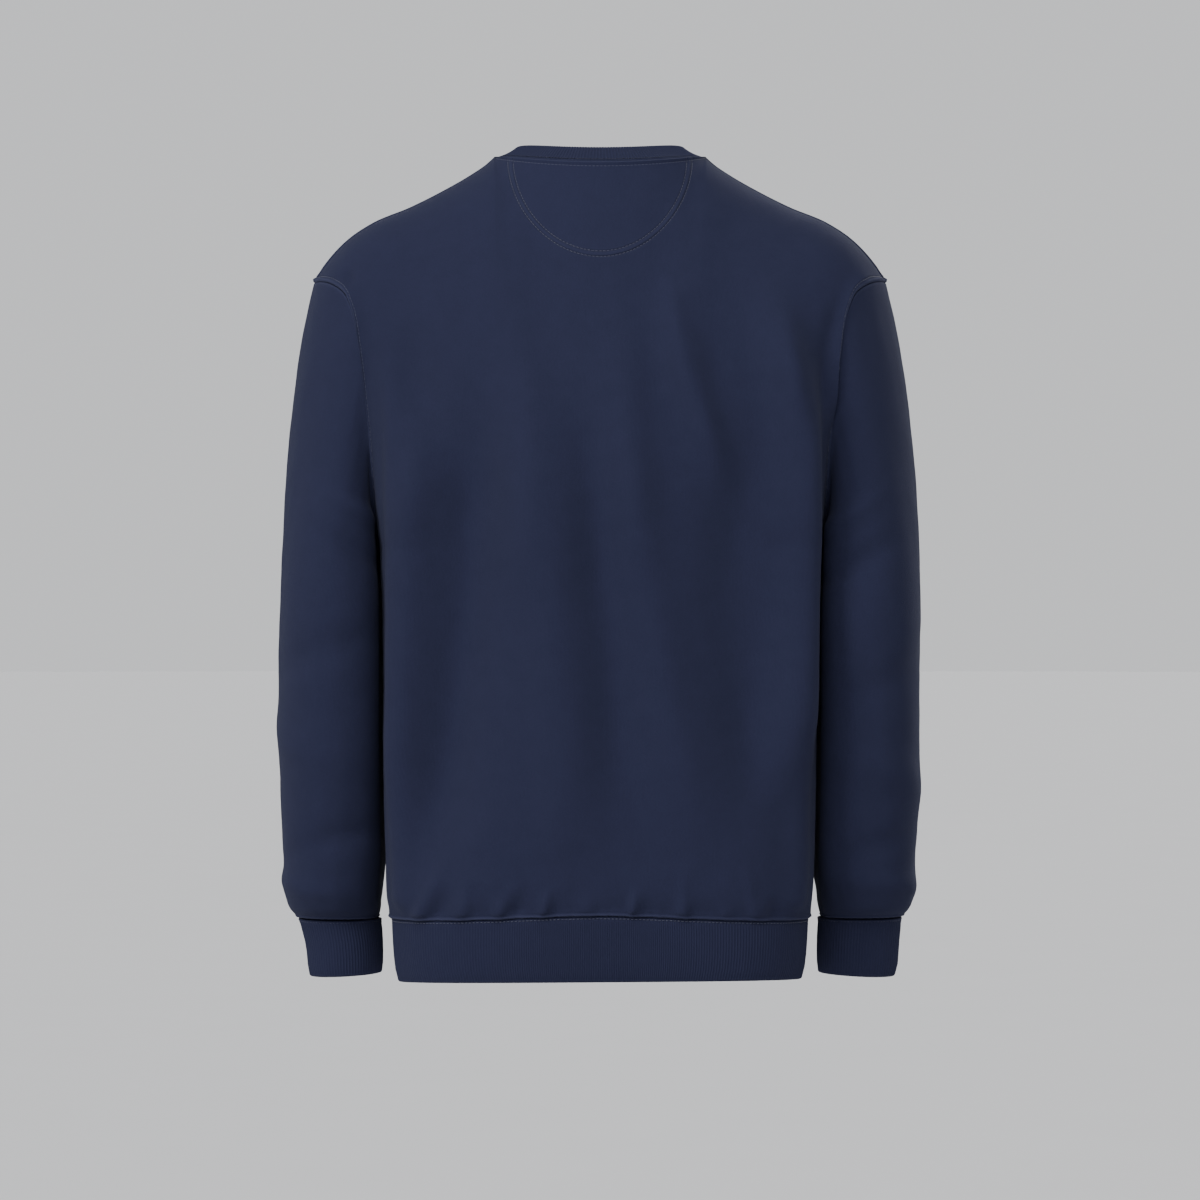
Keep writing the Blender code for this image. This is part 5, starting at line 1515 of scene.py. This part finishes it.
def pale_surroundings():
    """A pale world that is dimmer higher up."""
    world = bpy.data.worlds.new("studio")
    bpy.context.scene.world = world
    world.use_nodes = True
    nodes = world.node_tree.nodes
    links = world.node_tree.links
    background = nodes["Background"]
    background.inputs["Color"].default_value = WORLD_COLOUR
    direction = nodes.new("ShaderNodeTexCoord")
    height = nodes.new("ShaderNodeSeparateXYZ")
    dimming = nodes.new("ShaderNodeMapRange")
    for label, value in WORLD_DIMMING.items():
        dimming.inputs[label].default_value = value
    links.new(direction.outputs["Generated"], height.inputs["Vector"])
    links.new(height.outputs["Z"], dimming.inputs["Value"])
    links.new(dimming.outputs["Result"], background.inputs["Strength"])


def paper_floor():
    bpy.ops.object.select_all(action="DESELECT")
    bpy.ops.mesh.primitive_circle_add(vertices=96, radius=60.0, fill_type="NGON",
                                      location=(0.0, 0.0, FLOOR_Z))
    floor = bpy.context.object
    floor.name = "floor"
    paper = Finish("pale_paper", PAPER)
    paper.feed("Base Color", paper.mix(paper.noise(scale=3.0), PAPER_DARK, PAPER_PALE))
    floor.data.materials.append(paper.material)


def studio():
    pale_surroundings()
    paper_floor()
    sunlight("key", (1.4, 1.22, 0.95), spread=22.0, power=2.4)
    sunlight("front_key", (-1.0, -1.5, 0.9), spread=22.0, power=1.8)
    lamp("high_lamp", (0.1, 2.0, 1.2), size=1.4, power=40.0)


def camera():
    data = bpy.data.cameras.new("camera")
    data.sensor_width = SENSOR
    data.lens = SENSOR * CAMERA_DISTANCE / PICTURE_WIDTH
    eye = add_object("camera", data)
    eye.location = (0.0, CAMERA_DISTANCE, PICTURE_MIDDLE_Z)
    aim(eye, (0.0, 0.0, PICTURE_MIDDLE_Z))
    bpy.context.scene.camera = eye


def main():
    outside = jersey()
    inside = brushed_inside()
    rib = ribbing()
    yarn = thread()
    cloth = (outside, inside)
    back = make_panel("back", "back_panel", BACK, cloth)
    front = make_panel("front", "front_panel", FRONT, cloth)
    sleeves = [make_sleeve(side, cloth) for side in SIDES]
    waist = make_waistband((rib,))
    cuffs = [make_cuff(side, (rib,)) for side in SIDES]
    neck = make_collar((rib,))
    patch = make_patch((inside, outside))
    stitch = one_stitch()
    neck_sewing = [top_row(facing, -NECK_SHARE, NECK_SHARE) for facing in (BACK, FRONT)]
    sew("neck_stitching", neck_sewing, stitch, yarn)
    moon_sewing = [moon_row(offset) for offset in (-MOON_ROW, MOON_ROW)]
    sew("half_moon_stitching", moon_sewing, stitch, yarn)
    armholes = [armhole_row(facing, side) for facing in (BACK, FRONT) for side in (1.0, -1.0)]
    sew("armhole_stitching", armholes, stitch, yarn)
    shoulders = [top_row(BACK, NECK_SHARE, SEAM_EDGE), top_row(BACK, -SEAM_EDGE, -NECK_SHARE)]
    sew("shoulder_stitching", shoulders, stitch, yarn)
    sew("waist_stitching", [waist_row()], stitch, yarn)
    sew("cuff_stitching", [cuff_row(side) for side in SIDES], stitch, yarn)
    studio()
    camera()


main()
